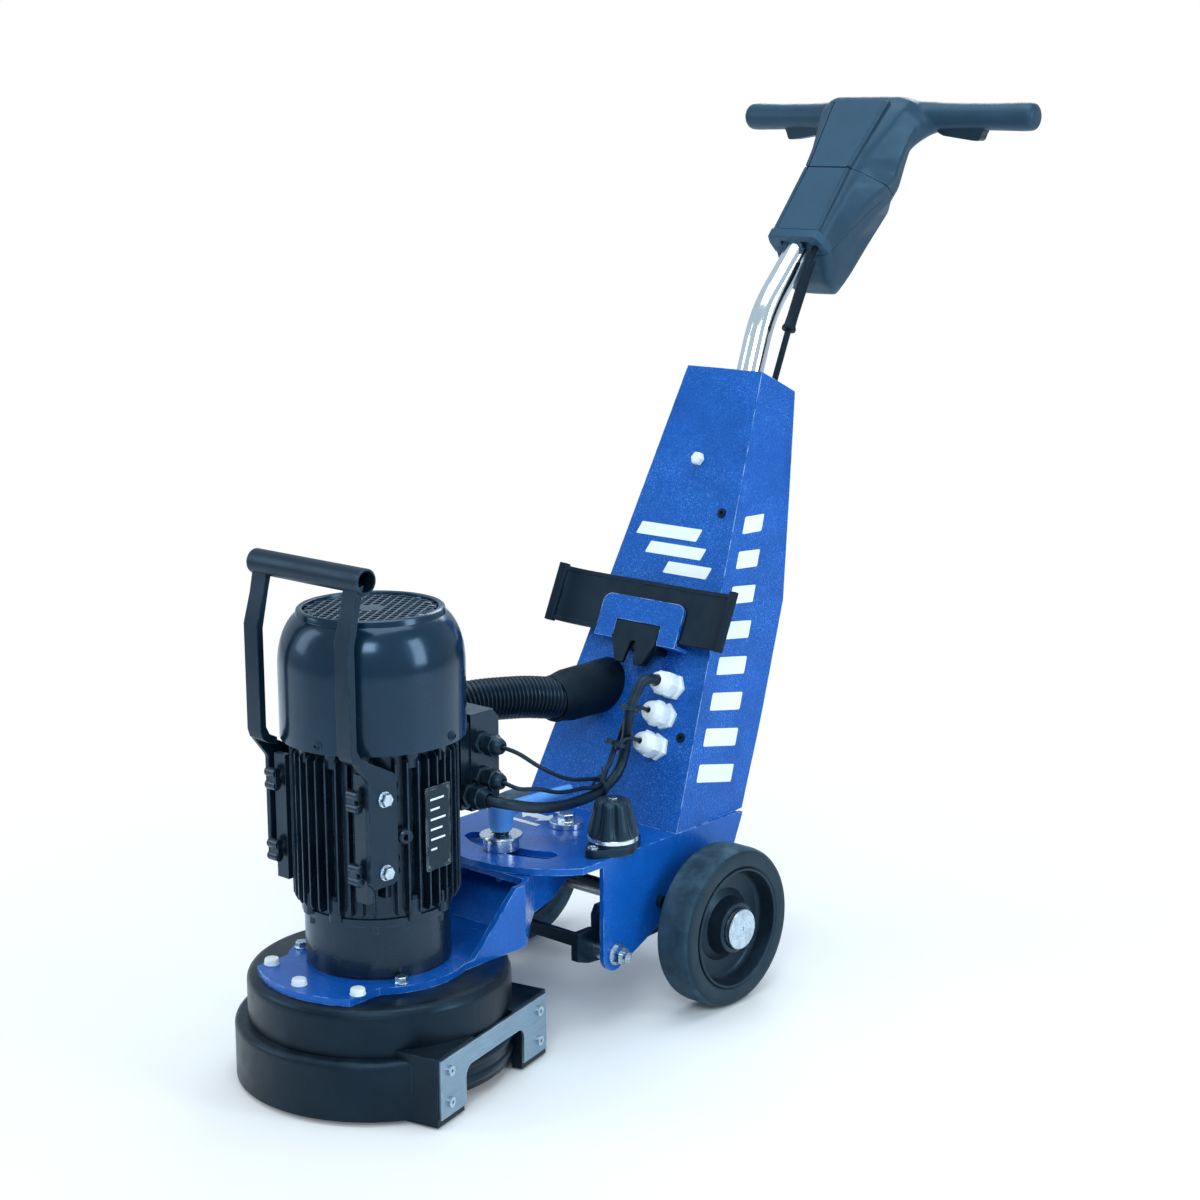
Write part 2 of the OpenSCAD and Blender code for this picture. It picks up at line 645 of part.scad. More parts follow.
// Plan of the dust port: a round box joined to the drum's wall
module port_plan(r, half, start) {
    translate(port_at) circle(r = r);
    rotate(atan2(port_at[1], port_at[0])) translate([start, -half]) square([norm(port_at) - start, 2 * half]);
}
module drum_cover() color(black) difference() {
    union() {
        rotate_extrude($fn = 128) polygon([
            [76, drum_top - drum_wall], [76, drum_top - 0.1], [drum_r - 12, drum_top - 0.1],
            for (a = [75 : -15 : 0]) [drum_r - 12 + 12 * cos(a), drum_top - 12.1 + 12 * sin(a)],
            [drum_r, bead_z + bead_h], [bead_r, bead_z + bead_h], [bead_r, bead_z], [drum_r, bead_z],
            [drum_r, drum_bottom], [drum_r - drum_wall, drum_bottom], [drum_r - drum_wall, drum_top - 14],
            [drum_r - 13, drum_top - drum_wall]
        ]);
        translate([0, 0, 78]) linear_extrude(28) port_plan(29, 26, drum_r - 1.5);
        translate([port_at[0], port_at[1], 100]) cylinder(h = 59, r = 23);
    }
    translate([0, 0, 82]) linear_extrude(20) port_plan(20.5, 17, drum_r - 10);
    translate([port_at[0], port_at[1], 90]) cylinder(h = 80, r = 20.5);
    for (p = arm_bolt_places()) translate([p[0], p[1], 100]) cylinder(h = 60, r = 4.2);
}
module bolt_caps() color("white") for (i = [0 : 2]) translate([for (v = arm_bolt_places()[i]) v, mount_z]) difference() {
    union() {
        cylinder(h = 7, r = 9);
        translate([0, 0, 7]) cylinder(h = 2, r1 = 9, r2 = 7);
    }
    translate([0, 0, -1]) cylinder(h = 8, r = 7.6);
}
module head_screws() color(steel) {
    for (p = arm_bolt_places()) translate([p[0], p[1], 0]) {
        translate([0, 0, mount_z]) hex(12.6, 5.5);
        translate([0, 0, drum_top - 12]) cylinder(h = 20, r = 4);
        translate([0, 0, drum_top - drum_wall - 6.6]) hex(13, 6.5);
    }
    for (a = [45 : 90 : 315]) rotate([0, 0, a]) translate([65, 0, 0]) {
        translate([0, 0, drum_top - 6]) hex(13, 6);
        translate([0, 0, drum_top - 0.1]) cylinder(h = 20, r = 4);
    }
    both_sides() for (z = lift_screw_z) {
        translate([plate_x + 6, lift_screw_y, z]) rotate([0, 90, 0]) hex(13, 5.5);
        x_rod(68, plate_x + 6.1, lift_screw_y, z, 4);
    }
    for (x = [-38, 38], z = [288, 374]) translate([x, 0, z]) rotate([-90, 0, 0]) {
        translate([0, 0, 146]) cylinder(h = 3, r = 4);
        translate([0, 0, 120]) cylinder(h = 26.1, r = 2);
    }
}

// ---------- motor ----------

module bell_flange() color(black) difference() {
    union() {
        translate([0, 0, mount_z - 3.5]) cylinder(h = 4, r = 55);
        translate([0, 0, mount_z + 0.1]) cylinder(h = 5, r = bell_r - 2);
        translate([0, 0, mount_z + 4]) cylinder(h = bell_top - mount_z - 5, r = bell_r);
        for (a = [15 : 60 : 315]) rotate([0, 0, a]) translate([bell_r - 2, 0, bell_top - 16])
            cylinder(h = 14, r = 5);
        translate([0, 0, bell_top - 8]) cylinder(h = 8, r = bell_r + 3);
    }
    translate([0, 0, lower_bearing_z]) cylinder(h = 100, r = bearing_r);
    translate([0, 0, lower_bearing_z + bearing_w]) cylinder(h = 100, r = 72);
    translate([0, 0, 100]) cylinder(h = 100, r = 22);
    for (a = [45 : 90 : 315]) rotate([0, 0, a]) translate([65, 0, mount_z - 1]) cylinder(h = 14, r = 4);
}
module motor_housing() color(black) difference() {
    union() {
        translate([0, 0, bell_top]) cylinder(h = cowl_z - bell_top - 1, r = 82);
        for (i = [0 : fin_count - 1]) rotate([0, 0, (i + 0.5) * 360 / fin_count])
            block([80, -1.2, bell_top + 4], [fin_r, 1.2, cowl_z - 8]);
        both_sides() for (z = lift_screw_z) x_rod(55, plate_x - 0.1, lift_screw_y, z, 9);
        block([-37, 60, 290], [37, 87.9, 370]);
        translate([0, 0, cowl_z - 1]) cylinder(h = 8, r = 78);
    }
    translate([0, 0, bell_top - 1]) cylinder(h = upper_bearing_z - bell_top - 3, r = 75);
    translate([0, 0, upper_bearing_z - 10]) cylinder(h = 10 + bearing_w, r = bearing_r);
    translate([0, 0, 300]) cylinder(h = 200, r = 22);
    both_sides() difference() {
        block([72, -86, 238], [100, -36, 376]);
        for (z = lift_screw_z) x_rod(60, plate_x - 0.1, lift_screw_y, z, 9);
    }
    both_sides() for (z = lift_screw_z) x_rod(60, 90, lift_screw_y, z, 4);
    block([-50, 87.95, 276], [50, 110, 383]);
    block([-25, 50, 305], [25, 100, 355]);
}
module stator() color("peru") difference() {
    union() {
        translate([0, 0, core_z0]) cylinder(h = core_z1 - core_z0, r = 74.9);
        translate([0, 0, core_z0 - 20]) cylinder(h = core_z1 - core_z0 + 30, r = 68);
    }
    translate([0, 0, 200]) cylinder(h = 200, r = 46);
}
module motor_bearings() color(steel) for (z = [lower_bearing_z, upper_bearing_z])
    ring(z, z + bearing_w, bearing_r, bearing_bore + 0.03);
module motor_shaft() color("lightgray") difference() {
    union() {
        translate([0, 0, 71]) cylinder(h = lower_bearing_z - 72, r = shaft_r);
        translate([0, 0, lower_bearing_z - 1.2]) cylinder(h = bearing_w + 4, r = bearing_bore);
        translate([0, 0, lower_bearing_z + bearing_w + 0.2])
            cylinder(h = upper_bearing_z - lower_bearing_z - bearing_w - 0.4, r = 17.5);
        translate([0, 0, upper_bearing_z - 2]) cylinder(h = bearing_w + 4, r = bearing_bore);
        translate([0, 0, upper_bearing_z + 10]) cylinder(h = 56, r = 12);
    }
    translate([0, 0, 70]) cylinder(h = 26, r = 4.2);
    block([shaft_r - 4.1, -4, 76], [shaft_r + 1, 4, 116]);
}
module rotor_core() color("gray") difference() {
    union() {
        translate([0, 0, core_z0]) cylinder(h = core_z1 - core_z0, r = 45.5);
        translate([0, 0, core_z0 - 8]) cylinder(h = core_z1 - core_z0 + 16, r = 42);
    }
    translate([0, 0, 200]) cylinder(h = 200, r = 17.5);
}
module cooling_fan() color("darkslategray") difference() {
    union() {
        translate([0, 0, 398]) cylinder(h = 24, r = 20);
        translate([0, 0, 398]) cylinder(h = 3, r = 82);
        for (a = [0 : 45 : 315]) rotate([0, 0, a]) block([15, -1.5, 400], [82, 1.5, 430]);
    }
    translate([0, 0, 390]) cylinder(h = 60, r = 12);
}
module fan_cowl() color("#2b3a4a") {
    shoulder = 26;
    difference() {
        rotate_extrude($fn = 128) polygon([
            [cowl_r - 2, cowl_z], [cowl_r, cowl_z], [cowl_r, cowl_top - shoulder],
            for (a = [15 : 15 : 75]) [
                cowl_r - shoulder + shoulder * cos(a), cowl_top - shoulder + shoulder * sin(a)
            ],
            [cowl_r - shoulder, cowl_top], [cowl_r - shoulder, cowl_top - 2],
            for (a = [75 : -15 : 15]) [
                cowl_r - shoulder + (shoulder - 2) * cos(a), cowl_top - shoulder + (shoulder - 2) * sin(a)
            ],
            [cowl_r - 2, cowl_top - shoulder]
        ]);
        for (a = [30 : 90 : 300]) rotate([0, 0, a]) x_rod(90, 110, 0, cowl_z + 6, 2.2);
    }
    translate([0, 0, cowl_top - 2]) linear_extrude(2) difference() {
        circle(r = cowl_r - shoulder + 0.5, $fn = 128);
        for (k = [1 : 4]) for (i = [0 : 8 * k - 1]) rotate([0, 0, i * 360 / (8 * k)]) translate([8 + 14 * k, 0])
            circle(r = 5, $fn = 6);
    }
    for (a = [75, 165, 255, 345]) rotate([0, 0, a]) block([79, -9, cowl_z + 1], [cowl_r - 1, 9, cowl_z + 3]);
}
module terminal_box() color(black) difference() {
    union() {
        block([-44, 88, 284], [44, 103, 382]);
        block([-46, 102, 280], [46, 128, 391]);
    }
    block([-40, 92, 288], [40, 129, 378]);
    block([-24, 80, 306], [24, 100, 354]);
    for (p = small_gland_places()) x_rod(30, 50, p[0], p[1], 8);
    x_rod(30, 50, 97, 301, 10);
    for (x = [-38, 38], z = [288, 374]) y_rod(x, 118, 130, z, 2.1);
}
function small_gland_places() = [[117, 357], [117, 317]];
module terminal_lid() color(black) difference() {
    union() {
        block([-46, 128.1, 280], [46, 138, 391]);
        plate_yz(-46, 46) polygon([[137, 281], [146, 290], [146, 381], [137, 390]]);
    }
    for (x = [-38, 38], z = [288, 374]) y_rod(x, 120, 150, z, 2.1);
    for (x = [-38, 38], z = [288, 374]) y_rod(x, 141, 155, z, 4.5);
}
// Cable gland along +X with its thread in the wall
module gland(af, r_thread, r_bore) rotate([0, 90, 0]) difference() {
    union() {
        translate([0, 0, -7]) cylinder(h = 8, r = r_thread);
        translate([0, 0, 0.1]) hex(af, 6);
        translate([0, 0, 6]) cylinder(h = 5, r = af / 2 - 1.5);
        translate([0, 0, 11]) hex(af - 2, 9);
        translate([0, 0, 20]) cylinder(h = 7, r1 = af / 2 - 1.5, r2 = r_bore + 2);
    }
    translate([0, 0, -10]) cylinder(h = 50, r = r_bore);
}
module motor_glands() color(black) {
    for (p = small_gland_places()) translate([46, p[0], p[1]]) gland(19, 8, 4.2);
    translate([46, 97, 301]) gland(24, 10, 8);
}
module lift_handle() color("#2f3f50") difference() {
    union() {
        both_sides() {
            plate_yz(56, plate_x + 6) polygon([
                [-93, lift_z - 5], [-79, lift_z - 5], [-100, 510], [-100, 388], [-109, 388], [-109, 512]
            ]);
            plate_yz(plate_x, plate_x + 6) polygon([
                [-109, 390], [-100, 396], [-86, 384], [-50, 368], [-44, 362], [-44, 250], [-50, 244], [-78, 244],
                [-82, 250], [-82, 362], [-102, 374], [-109, 382]
            ]);
        }
        x_rod(-lift_half, lift_half, -83.5, lift_z, 13.5);
    }
    x_rod(-lift_half - 1, lift_half + 1, -83.5, lift_z, 11);
    both_sides() for (z = lift_screw_z) x_rod(70, 90, lift_screw_y, z, 4.2);
}

// ---------- clamp ----------

module clamp_stud() color(steel) translate([0, stud_y, 0]) {
    translate([0, 0, deck_under - 17]) hex(19, 7.5);
    translate([0, 0, deck_under - 9.6]) cylinder(h = 66, r = 6);
}
module clamp_collar() color("gainsboro") translate([0, stud_y, 0]) difference() {
    union() {
        translate([0, 0, deck_z + 0.1]) cylinder(h = 15, r = 20.5);
        translate([0, 0, deck_z + 15]) cylinder(h = 3, r = 24.5);
        translate([0, 0, deck_under + 1]) cylinder(h = deck_t, r = slot_half - 0.5);
    }
    translate([0, 0, 100]) cylinder(h = 200, r = 6 + slide_gap);
}
module clamp_lever() color("cornflowerblue") translate([0, stud_y, deck_z + 18 + eps]) difference() {
    union() {
        cylinder(h = 5, r = 9);
        translate([0, 0, 4.9]) cylinder(h = 31.1, r1 = 12, r2 = 16.5);
        rotate([0, 0, 72]) {
            translate([0, 0, 28]) rotate([0, 83, 0]) cylinder(h = 96, r1 = 8, r2 = 6);
            translate([95, 0, 39.6]) sphere(r = 7);
        }
        translate([0, 0, 36]) cylinder(h = 3, r = 7);
    }
    translate([0, 0, -1]) cylinder(h = 34, r = 6 + slide_gap);
}

// ---------- tool ----------

module tool_hub() color("gray") difference() {
    union() {
        translate([0, 0, disc_top]) cylinder(h = 12, r = 55);
        translate([0, 0, disc_top + 11]) cylinder(h = 115 - disc_top - 11, r = 26);
    }
    translate([0, 0, 71]) cylinder(h = 60, r = shaft_r);
    translate([0, 0, 40]) cylinder(h = 40, r = 4.3);
    translate([0, 0, disc_top - 1]) cylinder(h = 51 - disc_top, r = 11);
    block([0, -4, 70], [shaft_r + 3.5, 4, 120]);
    for (a = [30 : 120 : 270]) rotate([0, 0, a]) translate([42, 0, disc_top - 1]) cylinder(h = 20, r = 4);
}
module grinding_disc() color("firebrick") difference() {
    translate([0, 0, segment_h]) cylinder(h = disc_t - 0.05, r = disc_r, $fn = 128);
    translate([0, 0, 0]) cylinder(h = 30, r = 30);
    for (a = [30 : 120 : 270]) rotate([0, 0, a]) translate([42, 0, 0]) {
        cylinder(h = 30, r = 4.2);
        translate([0, 0, segment_h - 0.01]) cylinder(h = 4, r1 = 8.2, r2 = 4.2);
    }
    for (a = [0 : 60 : 300]) rotate([0, 0, a]) translate([76, 0, 0]) cylinder(h = 30, r = 9);
}
module diamond_segments() color("goldenrod") for (a = [0 : 30 : 330]) rotate([0, 0, a - 9])
    rotate_extrude(angle = 18, $fn = 128) translate([disc_r - 32, 0]) square([26, segment_h - 0.02]);
module hub_fasteners() color(steel) {
    for (a = [30 : 120 : 270]) rotate([0, 0, a]) translate([42, 0, 0]) {
        translate([0, 0, segment_h + 0.2]) cylinder(h = 3.8, r1 = 7.8, r2 = 4);
        translate([0, 0, segment_h + 3.9]) cylinder(h = 16, r = 4);
    }
    translate([0, 0, 41]) cylinder(h = 9, r = 8);
    translate([0, 0, 49.9]) cylinder(h = 40, r = 4.15);
    block([shaft_r - 4, -3.95, 76.1], [shaft_r + 3.4, 3.95, 113]);
}

// ---------- skirt ----------

module dust_skirt() color(black) skirt_frame() difference() {
    union() {
        rotate_extrude($fn = 128) polygon([
            [drum_r + 0.1, 5], [skirt_r, 5], [skirt_r, skirt_top - 8],
            for (a = [15 : 15 : 75]) [skirt_r - 8 + 8 * cos(a), skirt_top - 8 + 8 * sin(a)],
            [skirt_r - 8, skirt_top], [drum_r + 0.1, skirt_top]
        ]);
        block([60, -edge_length / 2 - 3, 2], [edge_distance - 3.1, edge_length / 2 + 3, 78]);
    }
    translate([0, 0, -10]) cylinder(h = 200, r = drum_r + 0.1, $fn = 128);
    translate([0, 0, bead_z - 0.3]) cylinder(h = bead_h + 0.6, r = bead_r + 0.1, $fn = 128);
    block([100, -60, -1], [200, 60, 52]);
    block([100, -40, 40], [200, 40, 100]);
    block([edge_distance - 3.1, -200, -10], [250, 200, 200]);
    for (s = [-1, 1], z = [25, 60]) x_rod(130, 160, s * 92, z, 3);
}
module edge_plate() color(steel) skirt_frame() difference() {
    block([edge_distance - 3, -edge_length / 2, 10], [edge_distance, edge_length / 2, 75.5]);
    block([100, -60, 0], [200, 60, 40]);
    block([100, -48, 0], [200, 48, 52]);
    for (s = [-1, 1]) x_rod(140, 160, s * 48, 40, 12);
    for (s = [-1, 1], z = [25, 60]) x_rod(140, 160, s * 92, z, 3.1);
}
module edge_screws() color(steel) skirt_frame() for (s = [-1, 1], z = [25, 60])
    translate([edge_distance, s * 92, z]) rotate([0, 90, 0]) difference() {
        union() {
            cylinder(h = 3.2, r = 5.5);
            translate([0, 0, -16]) cylinder(h = 16.1, r = 3);
        }
        translate([0, 0, 1]) hex(4, 5);
    }

// Moves the origin from the spindle's foot to under the middle of the machine
module in_row() translate([0, -row_y, 0]) children();

in_row() deck_frame();
in_row() tower_shell();
in_row() rear_cover();
in_row() frame_screws();
in_row() dust_pipe();
in_row() hose_cuff();
in_row() saddle_strip();
in_row() saddle_bracket();
in_row() fork_hook();
in_row() cable_glands();
in_row() control_box();
in_row() power_inlet();
in_row() spindle_flange();
in_row() yoke_bolts();
in_row() tie_rod();
in_row() swing_bolt();
in_row() handle_tube();
in_row() handle_housing();
in_row() handle_cover();
in_row() control_cable();
in_row() dust_hose();
in_row() motor_cable();
in_row() signal_cables();
in_row() swing_arm();
in_row() drum_cover();
in_row() bell_flange();
in_row() motor_housing();
in_row() stator();
in_row() motor_bearings();
in_row() fan_cowl();
in_row() terminal_box();
in_row() terminal_lid();
in_row() motor_glands();
in_row() lift_handle();
in_row() head_screws();
in_row() bolt_caps();
in_row() clamp_stud();
in_row() clamp_collar();
in_row() clamp_lever();
in_row() motor_shaft();
in_row() rotor_core();
in_row() cooling_fan();
in_row() tool_hub();
in_row() grinding_disc();
in_row() diamond_segments();
in_row() hub_fasteners();
in_row() dust_skirt();
in_row() edge_plate();
in_row() edge_screws();
in_row() axle_yoke();
in_row() wheel_axle();
in_row() axle_caps();
in_row() left_tyre();
in_row() left_rim();
in_row() right_tyre();
in_row() right_rim();
in_row() adjusting_knob();
in_row() spindle_nut();
in_row() left_trigger();
in_row() right_trigger();
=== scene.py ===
import random
from math import atan, atan2, cos, hypot, pi, radians, sin, sqrt

import bmesh
import bpy
from mathutils import Matrix, Vector


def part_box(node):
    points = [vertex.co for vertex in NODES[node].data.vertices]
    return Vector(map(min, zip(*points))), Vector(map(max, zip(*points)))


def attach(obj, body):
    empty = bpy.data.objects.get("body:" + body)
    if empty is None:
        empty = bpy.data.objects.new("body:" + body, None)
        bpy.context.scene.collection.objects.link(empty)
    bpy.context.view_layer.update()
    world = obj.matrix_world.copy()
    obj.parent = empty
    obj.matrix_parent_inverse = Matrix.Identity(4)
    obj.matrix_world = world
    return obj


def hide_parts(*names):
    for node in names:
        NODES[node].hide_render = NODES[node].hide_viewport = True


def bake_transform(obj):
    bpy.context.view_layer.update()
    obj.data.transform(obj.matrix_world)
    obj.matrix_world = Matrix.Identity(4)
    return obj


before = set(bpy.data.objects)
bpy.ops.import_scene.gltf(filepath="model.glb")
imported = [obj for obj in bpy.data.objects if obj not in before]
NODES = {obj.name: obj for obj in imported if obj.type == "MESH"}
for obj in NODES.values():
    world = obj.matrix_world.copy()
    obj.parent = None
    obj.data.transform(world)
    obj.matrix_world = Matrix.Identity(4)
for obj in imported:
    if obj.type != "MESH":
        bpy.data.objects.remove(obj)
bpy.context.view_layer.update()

# Every length below is in millimetres, measured from the foot of the grinding spindle's axis.
MM = 0.001
LEAN_ANGLE = radians(24.3)              # how far the tower leans back
TOWER_FOOT = (0, 367.6, 204.4)          # foot of the tower's face
SIDE_SLOPE = 0.10727                    # how fast the tower narrows
PAD_Y, PAD_LEVELS = -63, (260, 340)     # the lifting handle's screws on the motor
CAP_ANGLES = (-124, -89, -54)           # the three capped bolts in the arm's lobe
ARM_BOLT_ANGLES = (-152, -28)           # the two bare ones beside the motor
rng = random.Random(7)
SHAFT_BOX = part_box("motor_shaft")
SPINDLE = Vector((0, (SHAFT_BOX[0].y + SHAFT_BOX[1].y) / 2, 0)) / MM


def node_box(name):
    """Lowest and highest corner of a CAD node, in millimetres from the spindle's foot."""
    low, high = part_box(name)
    return low / MM - SPINDLE, high / MM - SPINDLE


def in_row(point):
    """A point in millimetres from the spindle's foot, in metres in the row frame."""
    return (Vector(point) + SPINDLE) * MM


def node_centre(name):
    low, high = node_box(name)
    return (low + high) / 2


DECK_TOP = node_box("deck_frame")[1].z


# ---------- materials ----------

def join(tree, node, inputs):
    """Sets a node's inputs, each to a value or to another node's output."""
    for key, value in inputs.items():
        if isinstance(value, bpy.types.NodeSocket):
            tree.links.new(value, node.inputs[key])
        else:
            node.inputs[key].default_value = value


def add_node(tree, kind, inputs=None, **settings):
    """A shader node, with its inputs and settings."""
    node = tree.nodes.new("ShaderNode" + kind)
    for key, value in settings.items():
        setattr(node, key, value)
    join(tree, node, inputs or {})
    return node


class Graph:
    """A few short calls for building a material's nodes."""

    def __init__(self, name):
        self.mat = bpy.data.materials.new(name)
        self.mat.use_nodes = True
        self.tree = self.mat.node_tree
        self.shader = self.tree.nodes["Principled BSDF"]
        self.coords = self.add("TexCoord").outputs["Object"]

    def add(self, kind, inputs=None, **settings):
        return add_node(self.tree, kind, inputs, **settings)

    def stretch(self, scale):
        return self.add("Mapping", {"Vector": self.coords, "Scale": scale}).outputs["Vector"]

    def noise(self, scale, detail=3, rough=0.55, vector=None):
        return self.add("TexNoise", {"Vector": vector or self.coords, "Scale": scale, "Detail": detail,
                                               "Roughness": rough}).outputs["Fac"]

    def cells(self, scale, feature="SMOOTH_F1"):
        return self.add("TexVoronoi", {"Vector": self.coords, "Scale": scale},
                        feature=feature).outputs["Distance"]

    def ramp(self, value, low, high, start=0, end=1):
        return self.add("MapRange", {"Value": value, "From Min": low, "From Max": high, "To Min": start,
                                               "To Max": end}).outputs["Result"]

    def math(self, operation, a, b=0):
        return self.add("Math", {0: a, 1: b}, operation=operation,
                        use_clamp=operation == "MULTIPLY").outputs[0]

    def mix(self, factor, a, b):
        return self.add("Mix", {0: factor, 6: a, 7: b}, data_type="RGBA").outputs[2]

    def bump(self, height, strength, distance, normal=None):
        inputs = {"Height": height, "Strength": strength, "Distance": distance}
        if normal is not None:
            inputs["Normal"] = normal
        return self.add("Bump", inputs).outputs["Normal"]

    def up(self):
        """0 on walls and undersides, 1 on faces that look up."""
        split = self.add("SeparateXYZ")
        join(self.tree, split, {0: self.add("NewGeometry").outputs["Normal"]})
        return self.ramp(split.outputs["Z"], 0.35, 0.95)

    def edges(self):
        """1 along sharp edges."""
        rounded = self.add("Bevel", {"Radius": 0.0016}, samples=4)
        product = self.add("VectorMath", {0: rounded.outputs["Normal"]}, operation="DOT_PRODUCT")
        join(self.tree, product, {1: self.add("NewGeometry").outputs["Normal"]})
        return self.ramp(product.outputs["Value"], 0.995, 0.9)


def rgba(colour, gain=1):
    return tuple(min(1, c * gain) for c in colour) + (1,)


def surface(name, colour, rough, metal=0, coat=0, spread=0.18, patch=18, grain=(900, 0.25, 0.0002),
            dust=None, edge=None, hammer_and_painted_glint=None, brushed=None, rough_spread=0.12, specular=0.5,
            tint=(0.42, 0.7, 1), dust_tone=(0.13, 0.22, 0.3)):
    """A finish: colour in patches, fine grain, and optional dust, edges lightened partly as wear and partly as a
    painted highlight, hammered marks with painted glints, or brushing.
    """
    g = Graph(name)
    patches = g.noise(patch, 4)
    tone = g.mix(g.ramp(patches, 0.3, 0.7), rgba(colour, 1 - spread), rgba(colour, 1 + spread))
    roughness = g.ramp(g.noise(patch * 3.1, 5), 0.3, 0.7, rough - rough_spread / 2, rough + rough_spread / 2)
    normal = g.bump(g.noise(grain[0], 2), grain[1], grain[2])
    if hammer_and_painted_glint:
        scale, strength, painted_glint_strength = hammer_and_painted_glint
        marks = g.cells(scale)
        normal = g.bump(marks, strength, 0.0009, normal)
        normal = g.bump(g.noise(scale * 0.8, 1), strength * 0.7, 0.0012, normal)
        # Painted glints: bright blue speckles mixed into the colour stand in for highlights on the hammered paint.
        painted_glint = g.math("MULTIPLY", g.ramp(g.noise(scale, 2, 0.6), 0.52, 0.64), g.ramp(g.noise(9), 0.25, 0.7))
        tone = g.mix(g.math("MULTIPLY", painted_glint, painted_glint_strength), tone, rgba((0.11, 0.34, 0.86)))
    if brushed:
        lines = g.noise(1, 4, 0.7, g.stretch(brushed))
        normal = g.bump(lines, 0.22, 0.0003, normal)
        tone = g.mix(g.ramp(lines, 0.35, 0.65), tone, rgba(colour, 0.78))
        roughness = g.ramp(lines, 0.3, 0.7, rough - 0.08, rough + 0.12)
    if edge:
        # Lighter edges: partly worn paint, partly a painted highlight along folds and bevels.
        edge_wear_and_highlight = g.math("MULTIPLY", g.edges(), g.ramp(g.noise(70, 5), 0.42, 0.6))
        tone = g.mix(g.math("MULTIPLY", edge_wear_and_highlight, edge[1]), tone, rgba(edge[0]))
    if dust:
        film = g.math("MULTIPLY", g.ramp(g.noise(24, 6, 0.65), 0.4, 0.72), dust[0])
        settled = g.math("ADD", g.math("MULTIPLY", g.up(), film), g.math("MULTIPLY", film, dust[1]))
        specks = g.math("MULTIPLY", g.ramp(g.cells(260, "F1"), 0.16, 0.05), g.ramp(g.noise(40), 0.55, 0.65))
        settled = g.math("ADD", settled, g.math("MULTIPLY", specks, dust[0]))
        tone = g.mix(settled, tone, rgba(dust_tone))
        roughness = g.math("ADD", roughness, g.math("MULTIPLY", settled, 0.3))
    join(g.tree, g.shader, {"Base Color": tone, "Roughness": roughness, "Normal": normal, "Metallic": metal,
                            "Coat Weight": coat, "Coat Roughness": 0.12, "Specular IOR Level": specular})
    if metal < 1:
        join(g.tree, g.shader, {"Specular Tint": rgba(tint), "Coat Tint": rgba(tint)})
    return g.mat


# The blue paints carry painted highlights: light blue edges and bright glint speckles.
BLUE_COAT = surface("blue_coat", (0.003, 0.088, 0.42), 0.38, spread=0.12, hammer_and_painted_glint=(520, 0.75, 0.6),
    edge=((0.5, 0.74, 1), 1), tint=(0.3, 0.6, 1), specular=0.45)
SMOOTH_BLUE = surface("smooth_blue", (0.003, 0.092, 0.43), 0.24, spread=0.1, hammer_and_painted_glint=(240, 0.14, 0.1),
    edge=((0.3, 0.58, 0.95), 0.95), tint=(0.3, 0.6, 1), specular=0.6)
MOTOR_PAINT = surface("motor_paint", (0.0035, 0.008, 0.014), 0.3, coat=0.3, dust=(0.16, 0.22),
    edge=((0.06, 0.11, 0.16), 0.5), grain=(420, 0.45, 0.0006))
COWL_PAINT = surface("cowl_paint", (0.003, 0.016, 0.03), 0.22, coat=0.28, spread=0.3, patch=9,
    dust=(0.05, 0.3), grain=(120, 0.12, 0.0006), edge=((0.05, 0.1, 0.15), 0.5))
SATIN_BLACK = surface("satin_black", (0.003, 0.011, 0.022), 0.4, spread=0.2, edge=((0.08, 0.14, 0.2), 0.6),
    grain=(1100, 0.3, 0.0002))
MATT_BLACK = surface("matt_black", (0.002, 0.006, 0.012), 0.46, spread=0.2, edge=((0.03, 0.06, 0.09), 0.5),
    grain=(1100, 0.3, 0.0002), specular=0.3)
HEAD_PLASTIC = surface("head_plastic", (0.017, 0.045, 0.074), 0.4, spread=0.1, grain=(1900, 0.5, 0.00018),
    dust=(0.05, 0.5), edge=((0.08, 0.14, 0.2), 0.3))
PANEL_PLASTIC = surface("panel_plastic", (0.024, 0.064, 0.108), 0.55, spread=0.08, grain=(2600, 0.6, 0.00015))
DRUM_PLASTIC = surface("drum_plastic", (0.0012, 0.0035, 0.007), 0.36, spread=0.25, dust=(0.06, 0.3),
    grain=(300, 0.22, 0.0004), specular=0.4)
SKIRT_RUBBER = surface("skirt_rubber", (0.0014, 0.004, 0.0075), 0.38, spread=0.3, dust=(0.08, 0.3),
    grain=(240, 0.25, 0.0005), edge=((0.04, 0.07, 0.1), 0.5), specular=0.4)
SOFT_RUBBER = surface("soft_rubber", (0.0015, 0.004, 0.0075), 0.58, spread=0.25, dust=(0.05, 0.3),
    grain=(700, 0.5, 0.0003), specular=0.3)
HOSE_PLASTIC = surface("hose_plastic", (0.003, 0.007, 0.012), 0.3, spread=0.2, grain=(500, 0.15, 0.0003),
    dust=(0.04, 0.3))
CABLE_RUBBER = surface("cable_rubber", (0.005, 0.01, 0.017), 0.42, spread=0.2, grain=(1400, 0.3, 0.0002))
TREAD = surface("tread_rubber", (0.022, 0.05, 0.074), 0.72, spread=0.45, patch=26, dust=(0.42, 0.5),
    grain=(650, 0.9, 0.0006), specular=0.3)
SIDEWALL = surface("sidewall_rubber", (0.006, 0.014, 0.021), 0.52, spread=0.3, dust=(0.1, 0.45))
RIM_PLASTIC = surface("rim_plastic", (0.005, 0.011, 0.018), 0.4, spread=0.25, dust=(0.1, 0.4),
    grain=(420, 0.35, 0.0004))
KNOB_PLASTIC = surface("knob_plastic", (0.006, 0.016, 0.026), 0.36, spread=0.2, grain=(1500, 0.4, 0.0002),
    edge=((0.07, 0.12, 0.16), 0.5), dust=(0.04, 0.3))
